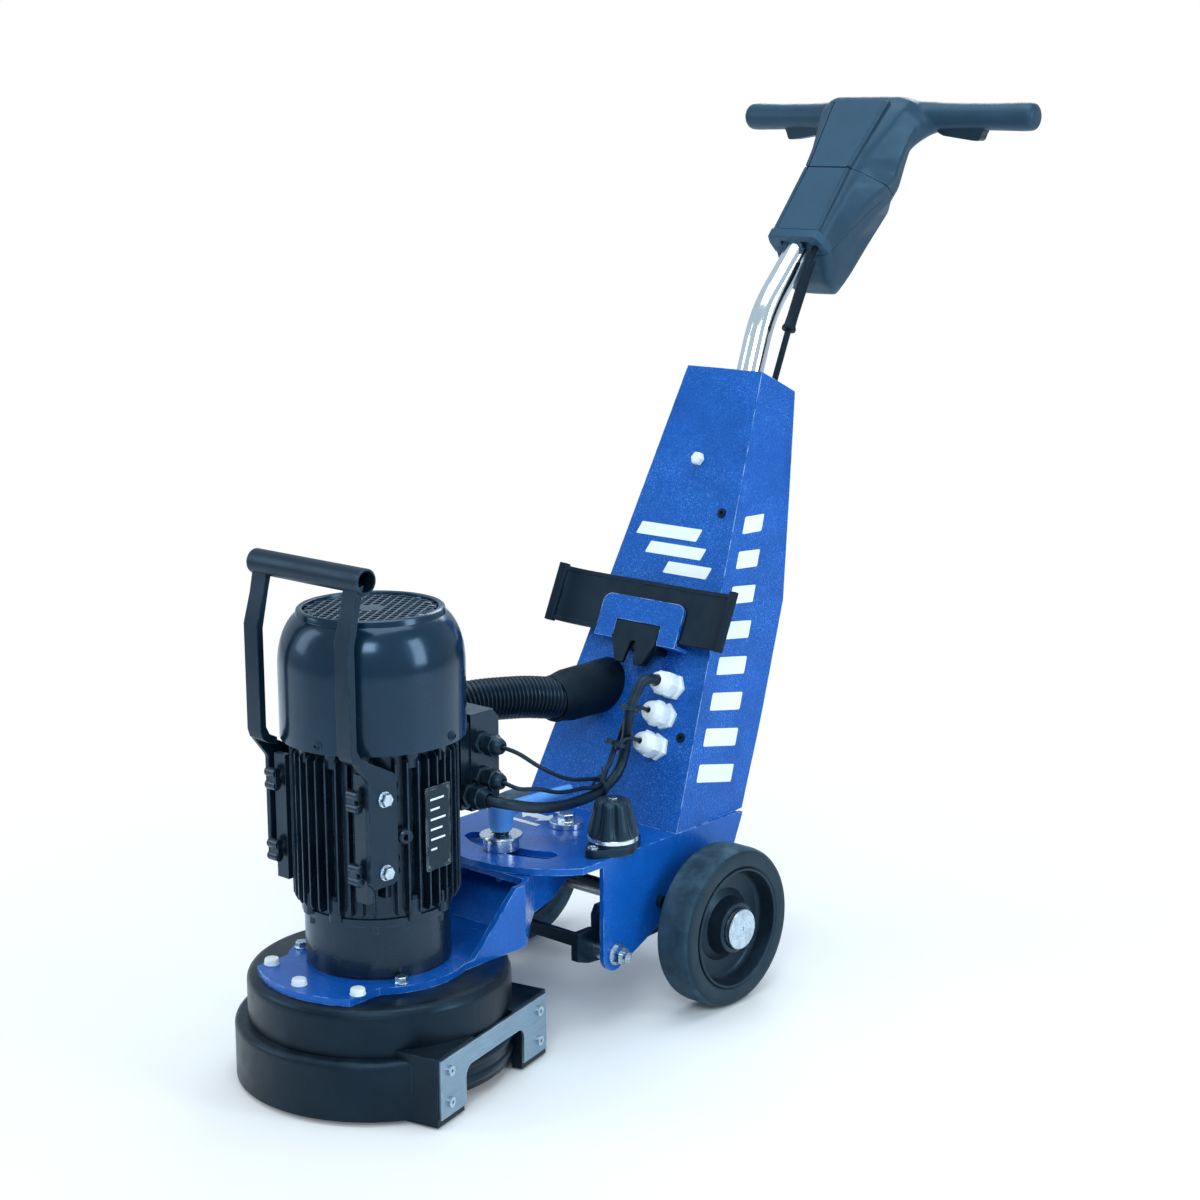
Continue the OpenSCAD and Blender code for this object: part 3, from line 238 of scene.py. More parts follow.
WHITE_PLASTIC = surface("white_plastic", (0.82, 0.9, 0.92), 0.3, spread=0.06, grain=(800, 0.15, 0.0002),
    dust=(0.16, 0.6), dust_tone=(0.4, 0.46, 0.46), tint=(1, 1, 1))
SKY_PLASTIC = surface("sky_plastic", (0.1, 0.34, 0.86), 0.36, spread=0.07, grain=(900, 0.2, 0.0002),
    dust=(0.04, 0.4))
GREY_PLASTIC = surface("grey_plastic", (0.3, 0.32, 0.34), 0.5, spread=0.08)
ZINC = surface("zinc_steel", (0.5, 0.6, 0.68), 0.26, metal=1, spread=0.2, patch=160,
               grain=(1500, 0.25, 0.0002), edge=((0.85, 0.92, 0.97), 0.6))
STAINLESS = surface("stainless_steel", (0.31, 0.44, 0.55), 0.38, metal=1, spread=0.1, patch=40,
    brushed=(30, 30, 1400), edge=((0.8, 0.88, 0.95), 0.5), dust=(0.06, 0.4))
CHROME = surface("chrome", (0.92, 0.96, 1), 0.1, metal=1, spread=0.04, rough_spread=0.05,
    grain=(60, 0.03, 0.0005), dust=(0.02, 0.4))
POLISHED = surface("polished_steel", (0.8, 0.87, 0.92), 0.22, metal=1, spread=0.06, grain=(300, 0.05, 0.0004),
    brushed=(90, 90, 600), edge=((0.95, 0.98, 1), 0.5), rough_spread=0.08)
GROUND_STEEL = surface("ground_steel", (0.5, 0.55, 0.6), 0.36, metal=1, brushed=(900, 900, 30))
COPPER = surface("copper_winding", (0.6, 0.25, 0.12), 0.35, metal=1, brushed=(700, 700, 60))
DISC_RED = surface("disc_paint", (0.36, 0.03, 0.02), 0.5, edge=((0.35, 0.33, 0.32), 0.9), dust=(0.35, 0.8),
    tint=(1, 1, 1))
DIAMOND = surface("diamond_bond", (0.3, 0.22, 0.11), 0.62, metal=0.7, spread=0.4, patch=300,
    grain=(1300, 1, 0.0006))
DECAL = surface("white_film", (0.86, 0.93, 0.96), 0.32, spread=0.03, grain=(520, 0.22, 0.0004),
    tint=(1, 1, 1))
LABEL = surface("blank_label", (0.01, 0.016, 0.022), 0.3, metal=0.3, spread=0.1, edge=((0.5, 0.6, 0.65), 0.5))
FLOOR_PAINT = surface("floor", (0.93, 0.95, 0.96), 0.7, spread=0.015, patch=3, grain=(60, 0.05, 0.0005),
    tint=(1, 1, 1), specular=0.2)

# The record's material slot that each finish stands for
SLOTS = {
    "black_paint": (COWL_PAINT, SATIN_BLACK, MOTOR_PAINT, LABEL, MATT_BLACK),
    "white_plastic": (DECAL, WHITE_PLASTIC),
    "black_rubber": (SKIRT_RUBBER, SOFT_RUBBER, CABLE_RUBBER),
    "zinc_steel": (ZINC, POLISHED),
    "black_plastic": (KNOB_PLASTIC, HOSE_PLASTIC, RIM_PLASTIC, HEAD_PLASTIC, PANEL_PLASTIC),
    "blue_plastic": (SKY_PLASTIC,),
    "tyre_rubber": (TREAD, SIDEWALL),
}
SLOT_OF = {material: slot for slot, finishes in SLOTS.items() for material in finishes}


# ---------- mesh building ----------

def place(bm, name, body, material, replaces=(), bevel=0, smooth=32, matrix=None, slot=None):
    """Turns a bmesh in millimetres into a piece that rides on a body."""
    slot = slot or SLOT_OF.get(material)
    if matrix is not None:
        bmesh.ops.transform(bm, matrix=matrix, verts=bm.verts)
    bmesh.ops.translate(bm, vec=SPINDLE, verts=bm.verts)
    bmesh.ops.scale(bm, vec=(MM, MM, MM), verts=bm.verts)
    bmesh.ops.recalc_face_normals(bm, faces=bm.faces)
    mesh = bpy.data.meshes.new(name)
    bm.to_mesh(mesh)
    bm.free()
    obj = bpy.data.objects.new(name, mesh)
    bpy.context.collection.objects.link(obj)
    mesh.materials.append(material)
    shade(obj, smooth)
    if bevel:
        soften(obj, bevel)
    if replaces:
        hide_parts(*replaces)
    if body:
        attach(obj, body)
    return obj


def shade(obj, angle):
    mesh = obj.data
    mesh.polygons.foreach_set("use_smooth", [True] * len(mesh.polygons))
    mesh.set_sharp_from_angle(angle=radians(angle))


def soften(obj, width):
    """Rounds an object's sharp edges."""
    mod = obj.modifiers.new("rounding", "BEVEL")
    mod.width = width * MM
    mod.segments = 2
    mod.limit_method = "ANGLE"
    mod.angle_limit = radians(35)
    mod.use_clamp_overlap = True
    mod.harden_normals = True


def lathe(profile, steps, matrix=None, bm=None):
    """Turns an outline of (radius, height) round Z. It closes into a ring unless it starts on the axis."""
    bm = bm or bmesh.new()
    rows = []
    for r, z in profile:
        if r < 1e-6:
            rows.append([bm.verts.new((0, 0, z))])
        else:
            rows.append([bm.verts.new((r * cos(a), r * sin(a), z))
                         for a in (2 * pi * k / steps for k in range(steps))])
    made = [v for row in rows for v in row]
    pairs = list(zip(rows, rows[1:])) + ([(rows[-1], rows[0])] if len(rows[0]) > 1 else [])
    for a, b in pairs:
        for k in range(steps):
            n = (k + 1) % steps
            quad = [a[k % len(a)], a[n % len(a)], b[n % len(b)], b[k % len(b)]]
            corners = list(dict.fromkeys(quad))
            if len(corners) > 2:
                bm.faces.new(corners)
    if matrix is not None:
        bmesh.ops.transform(bm, matrix=matrix, verts=made)
    return bm


def rod(r, low, high, steps, matrix=None, bm=None):
    return lathe([(0, low), (r, low), (r, high), (0, high)], steps, matrix, bm)


def rect(left, right, low, high):
    return [(left, low), (right, low), (right, high), (left, high)]


def polar(r, angle, z=0):
    a = radians(angle)
    return Vector((r * cos(a), r * sin(a), z))


def shift(x, y, z):
    return Matrix.Translation((x, y, z))


def spin(angle):
    return Matrix.Rotation(radians(angle), 4, "Z")


def enclose(bm, first, second):
    """Faces over two matching outlines and the wall between them."""
    bm.faces.new(first)
    bm.faces.new(second[::-1])
    for k in range(len(first)):
        n = (k + 1) % len(first)
        bm.faces.new([first[k], second[k], second[n], first[n]])


def skin(bm, rows):
    """Faces between rings of vertices, and over both ends."""
    for a, b in zip(rows, rows[1:]):
        for k in range(len(a)):
            n = (k + 1) % len(a)
            bm.faces.new([a[k], a[n], b[n], b[k]])
    bm.faces.new(rows[0][::-1])
    bm.faces.new(rows[-1])


def arc(cx, cy, r, start, end, steps=6):
    """Points on an arc, angles in degrees."""
    return [(cx + r * cos(radians(start + (end - start) * k / steps)),
             cy + r * sin(radians(start + (end - start) * k / steps))) for k in range(steps + 1)]


def prism(outline, low, high, axes="yz", bm=None, matrix=None):
    """A flat outline given thickness. axes names the two directions of the outline."""
    bm = bm or bmesh.new()
    order = {"yz": lambda u, v, w: (w, u, v), "xz": lambda u, v, w: (u, w, v),
             "xy": lambda u, v, w: (u, v, w)}[axes]
    first = [bm.verts.new(order(u, v, low)) for u, v in outline]
    second = [bm.verts.new(order(u, v, high)) for u, v in outline]
    enclose(bm, first, second)
    if matrix is not None:
        bmesh.ops.transform(bm, matrix=matrix, verts=first + second)
    return bm


def spline(points, steps=10):
    """A smooth path through points."""
    p = [Vector(v) for v in points]
    p = [2 * p[0] - p[1]] + p + [2 * p[-1] - p[-2]]
    path = []
    for i in range(len(p) - 3):
        a, b, c, d = p[i:i + 4]
        for k in range(steps):
            u = k / steps
            path.append(0.5 * (2 * b + (c - a) * u + (2 * a - 5 * b + 4 * c - d) * u * u
                               + (3 * b - 3 * c + d - a) * u ** 3))
    path.append(p[-2])
    return path


def resample(path, spacing):
    """The same path at even spacing, with the distance travelled at each point."""
    out, travelled, left = [(path[0], 0)], 0, spacing
    for a, b in zip(path, path[1:]):
        length, done = (b - a).length, 0
        while length - done >= left:
            done += left
            out.append((a.lerp(b, done / length), travelled + done))
            left = spacing
        left -= length - done
        travelled += length
    return out


def sweep(path, radius, sides=24, bm=None):
    """A round section along a path. radius is a number or a function of the index."""
    bm = bm or bmesh.new()
    size = radius if callable(radius) else (lambda i: radius)
    tangents = [(path[min(i + 1, len(path) - 1)] - path[max(i - 1, 0)]).normalized() for i in range(len(path))]
    normal = tangents[0].orthogonal().normalized()
    rows = []
    for i, (centre, tangent) in enumerate(zip(path, tangents)):
        normal = (normal - tangent * normal.dot(tangent)).normalized()
        side = tangent.cross(normal)
        rows.append([bm.verts.new(centre + size(i) * (cos(a) * normal + sin(a) * side))
                     for a in (2 * pi * k / sides for k in range(sides))])
    skin(bm, rows)
    return bm


def along(origin, direction):
    """A frame at origin whose Z points along direction."""
    return Matrix.Translation(Vector(origin)) @ Vector(direction).to_track_quat("Z", "Y").to_matrix().to_4x4()


def hex_nut(across, height, bm=None, matrix=None):
    """A hexagon with its corners turned off at the top, on Z = 0."""
    r, chamfer = across / sqrt(3), 0.1 * across
    return lathe([(0, 0), (r, 0), (r, height - chamfer * 0.5), (r - chamfer * 0.8, height), (0, height)], 6,
                 matrix, bm)


def bolt(origin, direction, across, height, bm, washer=0, dome=False):
    """A bolt head, with a washer under it if asked."""
    m = along(origin, direction)
    lift = 0
    if washer:
        lift = 1.6
        lathe([(0, 0), (washer - 0.4, 0), (washer, 0.4), (washer, 1.2), (washer - 0.4, 1.6), (0, 1.6)], 32, m, bm)
    up = m @ shift(0, 0, lift)
    if dome:
        lathe([(0, 0), (across / 2, 0)] + arc(0, 0, across / 2, 0, 55, 4)[1:]
              + [(across * 0.25, height), (across * 0.22, height * 0.45), (0, height * 0.45)], 24, up, bm)
    else:
        hex_nut(across, height, bm, up)
    return bm


def rounded(points, radius, steps=5):
    """The outline with each corner rounded."""
    out = []
    count = len(points)
    for i in range(count):
        p = Vector(points[i]).to_2d()
        a = (Vector(points[i - 1]).to_2d() - p)
        b = (Vector(points[(i + 1) % count]).to_2d() - p)
        cut = min(radius, a.length * 0.45, b.length * 0.45)
        start, end = p + a.normalized() * cut, p + b.normalized() * cut
        for k in range(steps + 1):
            u = k / steps
            out.append(tuple((1 - u) ** 2 * start + 2 * u * (1 - u) * p + u * u * end))
    return out


def apply_modifiers(obj):
    """Bakes an object's modifiers into its mesh."""
    graph = bpy.context.evaluated_depsgraph_get()
    baked = bpy.data.meshes.new_from_object(obj.evaluated_get(graph))
    obj.modifiers.clear()
    old = obj.data
    obj.data = baked
    bpy.data.meshes.remove(old)


# ---------- CAD nodes that keep their own shape ----------

KEPT = {
    BLUE_COAT: {"tower_shell": 1.6, "rear_cover": 0.8, "saddle_bracket": 0.8},
    SMOOTH_BLUE: {"deck_frame": 0.9, "swing_arm": 0.9},
    SATIN_BLACK: {"tie_rod": 0.5, "axle_yoke": 0.8, "spindle_flange": 0.8},
    MOTOR_PAINT: {"terminal_box": 0.8, "terminal_lid": 1.2, "bell_flange": 0.8},
    DRUM_PLASTIC: {"drum_cover": 0.8},
    SKIRT_RUBBER: {"dust_skirt": 1.6},
    STAINLESS: {"edge_plate": 0.4},
    ZINC: {"yoke_bolts": 0.5, "edge_screws": 0.4, "dust_pipe": 0.4,
           "clamp_stud": 0.3, "spindle_nut": 0.4, "hub_fasteners": 0, "axle_caps": 0.6},
    CHROME: {"handle_tube": 0},
    GROUND_STEEL: {"wheel_axle": 0.5, "motor_shaft": 0.4, "rotor_core": 0.5, "tool_hub": 0.6,
                   "motor_bearings": 0.4},
    COPPER: {"stator": 0},
    DISC_RED: {"grinding_disc": 0.4},
    DIAMOND: {"diamond_segments": 0.5},
    GREY_PLASTIC: {"control_box": 1},
    SKY_PLASTIC: {"power_inlet": 0.6},
    SOFT_RUBBER: {"cooling_fan": 0.3},
}
for material, kept in KEPT.items():
    for node, width in kept.items():
        part = NODES[node]
        part.data.materials.clear()
        part.data.materials.append(material)
        shade(part, 28)
        if width:
            soften(part, width)


# ---------- motor ----------

cowl_low, cowl_high = node_box("fan_cowl")
house_low, house_high = node_box("motor_housing")
COWL_R = (cowl_high.x - cowl_low.x) / 2 + 1.8
CORE_R = 80
FIN_R = (house_high.x - house_low.x) / 2
BELL_TOP = node_box("bell_flange")[1].z
FIN_TOP = cowl_low.z - 3


def fan_cowl():
    top, low = cowl_high.z, cowl_low.z
    rim, dome = COWL_R - 25, 62
    turns = [radians(k * 68 / 12) for k in range(13)]
    outer = [(COWL_R, low)]
    outer += [(COWL_R - 32 + 32 * cos(a), top - dome + (dome - 3) * sin(a)) for a in turns]
    outer += [(rim + 4.6, top - 5), (rim + 3.6, top - 1.6), (rim + 2, top - 0.3), (rim, top)]
    inner = [(rim - 3, top - 1), (rim - 3.4, top - 3.6), (rim - 1.5, top - 3.9)]
    back = [(rim + 3, top - 12), (COWL_R - 12, top - 32), (COWL_R - 2.2, top - dome), (COWL_R - 2, low)]
    bm = lathe(outer + inner + back, 96)
    place(bm, "fan_cowl_shell", "head", COWL_PAINT, ("fan_cowl",), bevel=0.4)

    # Grille: a sheet of hexagon holes with a plain disc in the middle
    bm = bmesh.new()
    pitch, reach, level = 10.4, rim - 2.5, top - 2.6
    corners = {}

    def vertex(x, y):
        key = (round(x, 2), round(y, 2))
        if key not in corners:
            corners[key] = bm.verts.new((x, y, level))
        return corners[key]

    ring = [(cos(radians(30 + 60 * k)), sin(radians(30 + 60 * k))) for k in range(6)]
    span = int(reach / pitch) + 2
    for row in range(-span, span + 1):
        for col in range(-span, span + 1):
            cx, cy = (col + 0.5 * (row % 2)) * pitch, row * pitch * sqrt(3) / 2
            away = hypot(cx, cy)
            if away > reach - pitch * 0.1:
                continue
            out = [vertex(cx + pitch / sqrt(3) * c, cy + pitch / sqrt(3) * s) for c, s in ring]
            if away < 13 or away > reach - pitch * 0.55:
                bm.faces.new(out)
                continue
            hole = [bm.verts.new((cx + 4.3 * c, cy + 4.3 * s, level)) for c, s in ring]
            for k in range(6):
                bm.faces.new([out[k], out[(k + 1) % 6], hole[(k + 1) % 6], hole[k]])
    grille = place(bm, "fan_grille", "head", COWL_PAINT)
    grille.modifiers.new("sheet", "SOLIDIFY").thickness = 1.4 * MM
    # Screws round the cowl's foot
    bm = bmesh.new()
    for angle in (-78, 12, 102, 192):
        d = polar(1, angle)
        bolt(d * (COWL_R - 0.6) + Vector((0, 0, low + 9)), d, 8, 3.4, bm, washer=5.5, dome=True)
    place(bm, "cowl_screws", "head", SATIN_BLACK, bevel=0.2)


def motor_housing():
    bm = lathe(rect(72, CORE_R, BELL_TOP, FIN_TOP + 4), 96)
    rod(78, FIN_TOP + 2, FIN_TOP + 12, 48, None, bm)
    box_low, _ = node_box("terminal_box")
    count = 44
    for k in range(count):
        angle = (k + 0.5) * 360 / count
        a = radians(angle)
        reach = FIN_R - 0.2
        bottom, top = BELL_TOP + 5, FIN_TOP - 5
        x, y = reach * cos(a), reach * sin(a)
        if y > box_low.y and abs(x) < 46:
            top = box_low.z - 4
        if abs(x) > 70 and -86 < y < -34 and not -44 < y < -36:
            continue
        turn = Matrix.Rotation(a, 4, "Z")
        outline = [(CORE_R - 2, bottom), (reach - 3, bottom), (reach, bottom + 6), (reach, top - 4),
                   (reach - 4, top), (CORE_R - 2, top)]
        first, second = ([bm.verts.new(turn @ Vector((r, hand * (1.9 if r < 85 else 1.05), z))) for r, z in outline]
                         for hand in (-1, 1))
        enclose(bm, first, second)
    for side in (-1, 1):
        # Flat pads behind the lifting plates, with ribs beside them
        for y0, y1 in ((-80, -72), (-54, -46)):
            prism(rect(y0, y1, 226, 366), side * 54, side * 72, "yz", bm)
        for z in PAD_LEVELS:
            rod(9, 0, 22, 24, along((side * 53.8, PAD_Y, z), (side, 0, 0)), bm)
            for y in (-89, -38):
                for lift in (-7, 7):
                    lathe([(0, 0), (5.4, 0), (5.4, 15), (4.4, 16), (0, 16)], 20,
                          along((side * 57, y, z + lift), (side, 0, 0)), bm)
                prism(rect(y - 3, y + 3, z - 9, z + 9), side * 56, side * 68, "yz", bm)
    # Tie-bolt lugs at both ends
    for angle in (-105, -75, -15, 15, 105, 165, 195, 75):
        turn = spin(angle)
        for z0, z1 in ((BELL_TOP - 4, BELL_TOP + 20), (FIN_TOP - 16, FIN_TOP + 2)):
            if z1 > 300 and 60 < angle < 120:
                continue
            outline = rounded([(74, -8), (88, -7), (88, 7), (74, 8)], 4)
            prism(outline, z0, z1, "xy", bm, turn)
    # Eye boss
    eye = spin(-22) @ along((FIN_R - 6, 0, 292), (1, 0, 0))
    lathe([(3.6, 0), (9, 0), (8.4, 4.5), (6.5, 6), (3.6, 6)], 24, eye, bm)
    place(bm, "motor_body", "head", MOTOR_PAINT, ("motor_housing",), bevel=0.45)

    # Lug screws
    bm = bmesh.new()
    for angle in (-105, -75, -15, 15, 165, 195):
        hex_nut(9, 5, bm, shift(*polar(83.5, angle, BELL_TOP + 20)))
    place(bm, "motor_lug_screws", "head", SATIN_BLACK, bevel=0.3)

    # Blank data plate on the fins
    bm = bmesh.new()
    plate = spin(3) @ shift(FIN_R - 0.2, 0, 0)
    prism(rounded(rect(-19, 19, 250, 342), 3), 0, 1, "yz", bm, plate)
    prism(rounded(rect(-16.5, 16.5, 253, 339), 2), 0.9, 1.2, "yz", bm, plate)
    for y, z in ((-15.5, 254.5), (15.5, 254.5), (-15.5, 337.5), (15.5, 337.5)):
        lathe([(0, 0), (1.6, 0), (1.2, 0.8), (0, 1)], 12, plate @ along((1.1, y, z), (1, 0, 0)), bm)
    place(bm, "data_plate", "head", LABEL, bevel=0.15)
    bm = bmesh.new()
    for k, (y0, y1) in enumerate(((-12, 9), (-12, 2), (-12, 11), (-12, 6), (-12, 10), (-12, -3))):
        z = 327 - 11 * k
        prism(rect(y0, y1, z, z + 2.2), 1.15, 1.4, "yz", bm, plate)
    place(bm, "data_plate_bars", "head", DECAL, slot="black_paint")


def skirt_beads():
    """Two half-round rubber lips that show through the cut-out of the flat edge."""
    plate = (node_box("edge_plate")[0] + node_box("edge_plate")[1]) / 2
    middle = atan2(plate.y, plate.x)
    bm = bmesh.new()
    for height in (26, 43):
        path = [Vector((141 * cos(middle + a), 141 * sin(middle + a), height))
                for a in (radians(-25 + 50 * k / 24) for k in range(25))]
        sweep(path, 7, 20, bm)
    place(bm, "skirt_lips", "skirt", SKIRT_RUBBER, smooth=50)


def lift_handle():
    low, high = node_box("lift_handle")
    tube_z, tube_y = high.z - 13.5, -83.5
    half = high.x
    bm = lathe([(11.2, -half), (13, -half), (13.5, -half + 0.6), (13.5, half - 0.6), (13, half), (11.2, half)], 48,
               shift(0, tube_y, tube_z) @ Matrix.Rotation(pi / 2, 4, "Y"))
    place(bm, "lift_tube", "head", SATIN_BLACK, ("lift_handle",))
    bm = bmesh.new()
    for side in (-1, 1):
        # Flat bar, bent where it leaves the tube and where it meets the plate
        bar = [(-92, tube_z - 6), (-97, tube_z - 30), (-107, 512), (-107, 396), (-104, 387), (-97, 382), (-84, 378),
               (-84, 386), (-94, 391), (-98.5, 400), (-98.5, 508), (-89.5, tube_z - 28), (-83, tube_z - 4)]
        prism(bar, side * 60, side * 82, "yz", bm)
        arm = [(-104, 388), (-84, 362), (-84, 250), (-78, 244), (-50, 244), (-44, 250), (-44, 360), (-48, 366),
               (-84, 384), (-98, 393)]
        prism(rounded(arm, 3, 3), side * 76.2, side * 82.1, "yz", bm)
    place(bm, "lift_bars", "head", SATIN_BLACK, bevel=0.9)


def motor_extras():
    bm = bmesh.new()
    for z in PAD_LEVELS:
        for side in (-1, 1):
            spot, out = (side * 82, PAD_Y, z), (side, 0, 0)
            bolt(spot, out, 13, 7.5, bm)
            rod(8.6, 0, 1.3, 32, along(spot, out), bm)
    for angle in ARM_BOLT_ANGLES:
        bolt(polar(91, angle, 131), (0, 0, 1), 12, 6, bm, washer=8.2)
    for x in (-38, 38):
        for z in (288, 374):
            bolt((x, 146, z), (0, 1, 0), 7.4, 3, bm, dome=True)
    for angle in (45, 135, 225, 315):
        bolt(polar(65, angle, 123), (0, 0, -1), 13, 6, bm)
    for angle in CAP_ANGLES + ARM_BOLT_ANGLES:
        bolt(polar(118 if angle in CAP_ANGLES else 91, angle, 120), (0, 0, -1), 13, 6.5, bm)
    place(bm, "head_bolts", "head", ZINC, ("head_screws",), bevel=0.35)
    # White caps over the three front bolts
    bm = bmesh.new()
    for angle in CAP_ANGLES:
        m = shift(*polar(118, angle, 131)) @ Matrix.Rotation(rng.uniform(0, 1), 4, "Z")
        lathe([(0, 0.1), (8.6, 0.1), (8.8, 1.2), (8.3, 1.8), (8, 5.6), (7.2, 7), (5.2, 7.6), (0, 7.7)], 36, m, bm)
    place(bm, "bolt_cap_set", "head", WHITE_PLASTIC, ("bolt_caps",))


def gland(bm, m, across, bore, length):
    """A cable gland standing on Z = 0: fixed hexagon, body with a collar, ribbed cap nut, tapered mouth."""
    hex_nut(across, 6, bm, m)
    r = across / 2
    lathe([(bore, 5), (r - 2, 5), (r - 2, length * 0.28), (r - 1, length * 0.3), (r - 1, length * 0.36),
           (bore, length * 0.36)], 36, m, bm)
    hex_nut(across * 0.97, length * 0.34, bm, m @ shift(0, 0, length * 0.36))
    lathe([(bore, length * 0.66), (r - 0.6, length * 0.66), (r - 1, length * 0.76), (r - 3.4, length * 0.93),
           (bore + 1.6, length), (bore, length - 1), (bore, length * 0.8)], 36, m, bm)


LEAN = Matrix.Translation(TOWER_FOOT) @ Matrix.Rotation(-LEAN_ANGLE, 4, "X")
GLAND_S = (170, 133, 95)
SMALL_GLANDS = ((117, 357), (117, 317))


def glands():
    bm = bmesh.new()
    for i, s in enumerate(GLAND_S):
        m = LEAN @ along((58, 0, s), (0, -1, 0)) @ Matrix.Rotation(0.35 * i, 4, "Z")
        gland(bm, m, 29, (6.8, 3.4, 3.4)[i], 38)
    place(bm, "white_glands", "chassis", WHITE_PLASTIC, ("cable_glands",), bevel=0.5)
    bm = bmesh.new()
    for y, z in SMALL_GLANDS:
        gland(bm, along((46, y, z), (1, 0, 0)), 23, 3.4, 35)
    gland(bm, along((46, 97, 301), (1, 0, 0)), 25, 7.2, 33)
    place(bm, "box_glands", "head", KNOB_PLASTIC, ("motor_glands",), bevel=0.4)


# ---------- hose and cables ----------

def tower_point(x, s, t):
    return LEAN @ Vector((x, t, s))


def dust_hose():
    port = Vector((-131, 92, 0))
    points = [port + Vector((0, 0, 140)), port + Vector((0, 1, 185)), (-129, 98, 235), (-119, 122, 296),
              (-103, 162, 338), (-84, 215, 358), (-62, 288, 356), (-50, 342, 347), (-50, 372, 346)]
    pitch = 5.3
    track = resample(spline(points, 16), pitch / 8)
    last = track[-1][1]

    def radius(i):
        u = track[i][1]
        smooth_end = min(1, u / 18, (last - u) / 18)
        return 22.7 + 2.9 * max(0, smooth_end) * (0.5 + 0.5 * cos(2 * pi * u / pitch)) ** 0.7

    bm = sweep([p for p, _ in track], radius, 40)
    hose = place(bm, "corrugated_hose", None, HOSE_PLASTIC, ("dust_hose",), smooth=60)
    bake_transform(hose)

    # Soft sleeve on the hose's tower end, cut to the tower's slope
    low, high = node_box("hose_cuff")
    centre = (low + high) / 2
    rings = [(24.8, -6), (27.6, -7), (28.6, -4), (28.8, 4), (30.6, 14), (31.8, 22), (32.2, 60), (32.2, 100),
             (31.4, 106), (25.3, 106)]
    bm = lathe(rings, 64, shift(centre.x, low.y, centre.z) @ Matrix.Rotation(-pi / 2, 4, "X"))
    bmesh.ops.bisect_plane(bm, geom=bm.verts[:] + bm.edges[:] + bm.faces[:], plane_co=(0, 367.3, 204.4),
                           plane_no=(0, cos(LEAN_ANGLE), -sin(LEAN_ANGLE)), clear_outer=True)
    bmesh.ops.holes_fill(bm, edges=[e for e in bm.edges if e.is_boundary], sides=0)
    place(bm, "hose_sleeve", "chassis", SOFT_RUBBER, ("hose_cuff",), smooth=50)

    # Clamp band and collar where the hose meets the drum's port
    bm = lathe([(23.2, 128), (26.4, 129), (27.4, 131), (27.4, 148), (26.6, 151), (25.2, 158), (23.2, 159)], 64,
               Matrix.Translation(port))
    place(bm, "port_sleeve", "head", SOFT_RUBBER, smooth=50)
    bm = lathe([(27.3, 135), (28.1, 135.4), (28.1, 143.6), (27.3, 144)], 64, Matrix.Translation(port))
    prism(rect(27, 35, -4, 4), 133.5, 145.5, "xy", bm, Matrix.Translation(port))
    place(bm, "hose_clamp", "head", ZINC, bevel=0.3)


MOTOR_WIRE = [(60, 97, 301), (80, 98, 300), (94, 112, 296), (95, 148, 284), (78, 200, 269), (56, 258, 256),
              (44, 315, 253), (40, 352, 266), (41, 366, 292), tower_point(52, 120, -61), tower_point(54, 146, -62),
              tower_point(56, 161, -59), tower_point(58, 169, -48), tower_point(58, 170, -28)]


def signal_wire(i):
    z, s = SMALL_GLANDS[i][1], GLAND_S[i + 1]
    if i == 0:
        middle = [(86, 172, z - 34), (62, 238, z - 66), (44, 292, z - 83), (37, 326, 268)]
    else:
        middle = [(90, 162, z - 16), (68, 222, z - 38), (50, 278, z - 50), (46, 316, 263)]
    lift = (33 - 2 * i, 348, 278)
    return ([(60, 117, z), (80, 117, z), (94, 128, z - 7)] + middle
            + [lift, (31 - 2 * i, 363, 300), tower_point(46, s - 16, -58), tower_point(51, s - 5, -56),
               tower_point(56, s, -48), tower_point(58, s, -26)])


def blended(bm, name, material, replaces=()):
    obj = place(bm, name, None, material, replaces, smooth=50)
    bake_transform(obj)


def cables():
    path = spline(MOTOR_WIRE, 14)
    blended(sweep(path, 6.3, 20), "motor_wire", CABLE_RUBBER, ("motor_cable",))
    bm = bmesh.new()
    for i in (0, 1):
        sweep(spline(signal_wire(i), 14), 2.4, 14, bm)
    blended(bm, "signal_wires", CABLE_RUBBER, ("signal_cables",))
    # Cable ties round the bundle
    bm = bmesh.new()
    ties = ((tower_point(52, 128, -60), (0.05, 0.42, 1), 10.5), (tower_point(45, 84, -59), (0.15, 0.38, 1), 10.5),
            (Vector((44, 318, 257)), (-0.2, 1, 0.1), 11))
    for spot, aim, reach in ties:
        m = along(spot, aim)
        lathe([(reach - 2, -2.6), (reach, -2.2), (reach, 2.2), (reach - 2, 2.6)], 28, m, bm)
        prism(rect(-3.5, 3.5, reach - 1, reach + 4), -3.4, 3.4, "xy", bm, m)
    tail = [ties[2][0] + Vector(p) for p in ((4, 0, 10), (2, 2, 18), (-3, 6, 25))]
    sweep(spline(tail, 5), 1.5, 8, bm)
    blended(bm, "cable_ties", KNOB_PLASTIC)
    # Control cable with its long boot under the handle head
    points = [(36, 57, 545), (36, 57, 590), (36, 57, 645), (33, 63, 690), (30, 69, 736), (27, 78, 772)]
    path = spline([tower_point(x, s, t) for x, t, s in points], 12)
    bm = sweep(path, 4, 16)
    start, end = tower_point(36, 645, 57), tower_point(29.6, 742, 70)
    length = (end - start).length
    lathe([(3.8, -1), (8.6, 0), (9.2, 2.5), (8.4, 5), (7.4, 7), (7, 20), (7.6, length), (3.8, length)], 32,
          along(start, end - start), bm)
    place(bm, "control_wire", "chassis", SOFT_RUBBER, ("control_cable",), smooth=45)


# ---------- frame fittings ----------

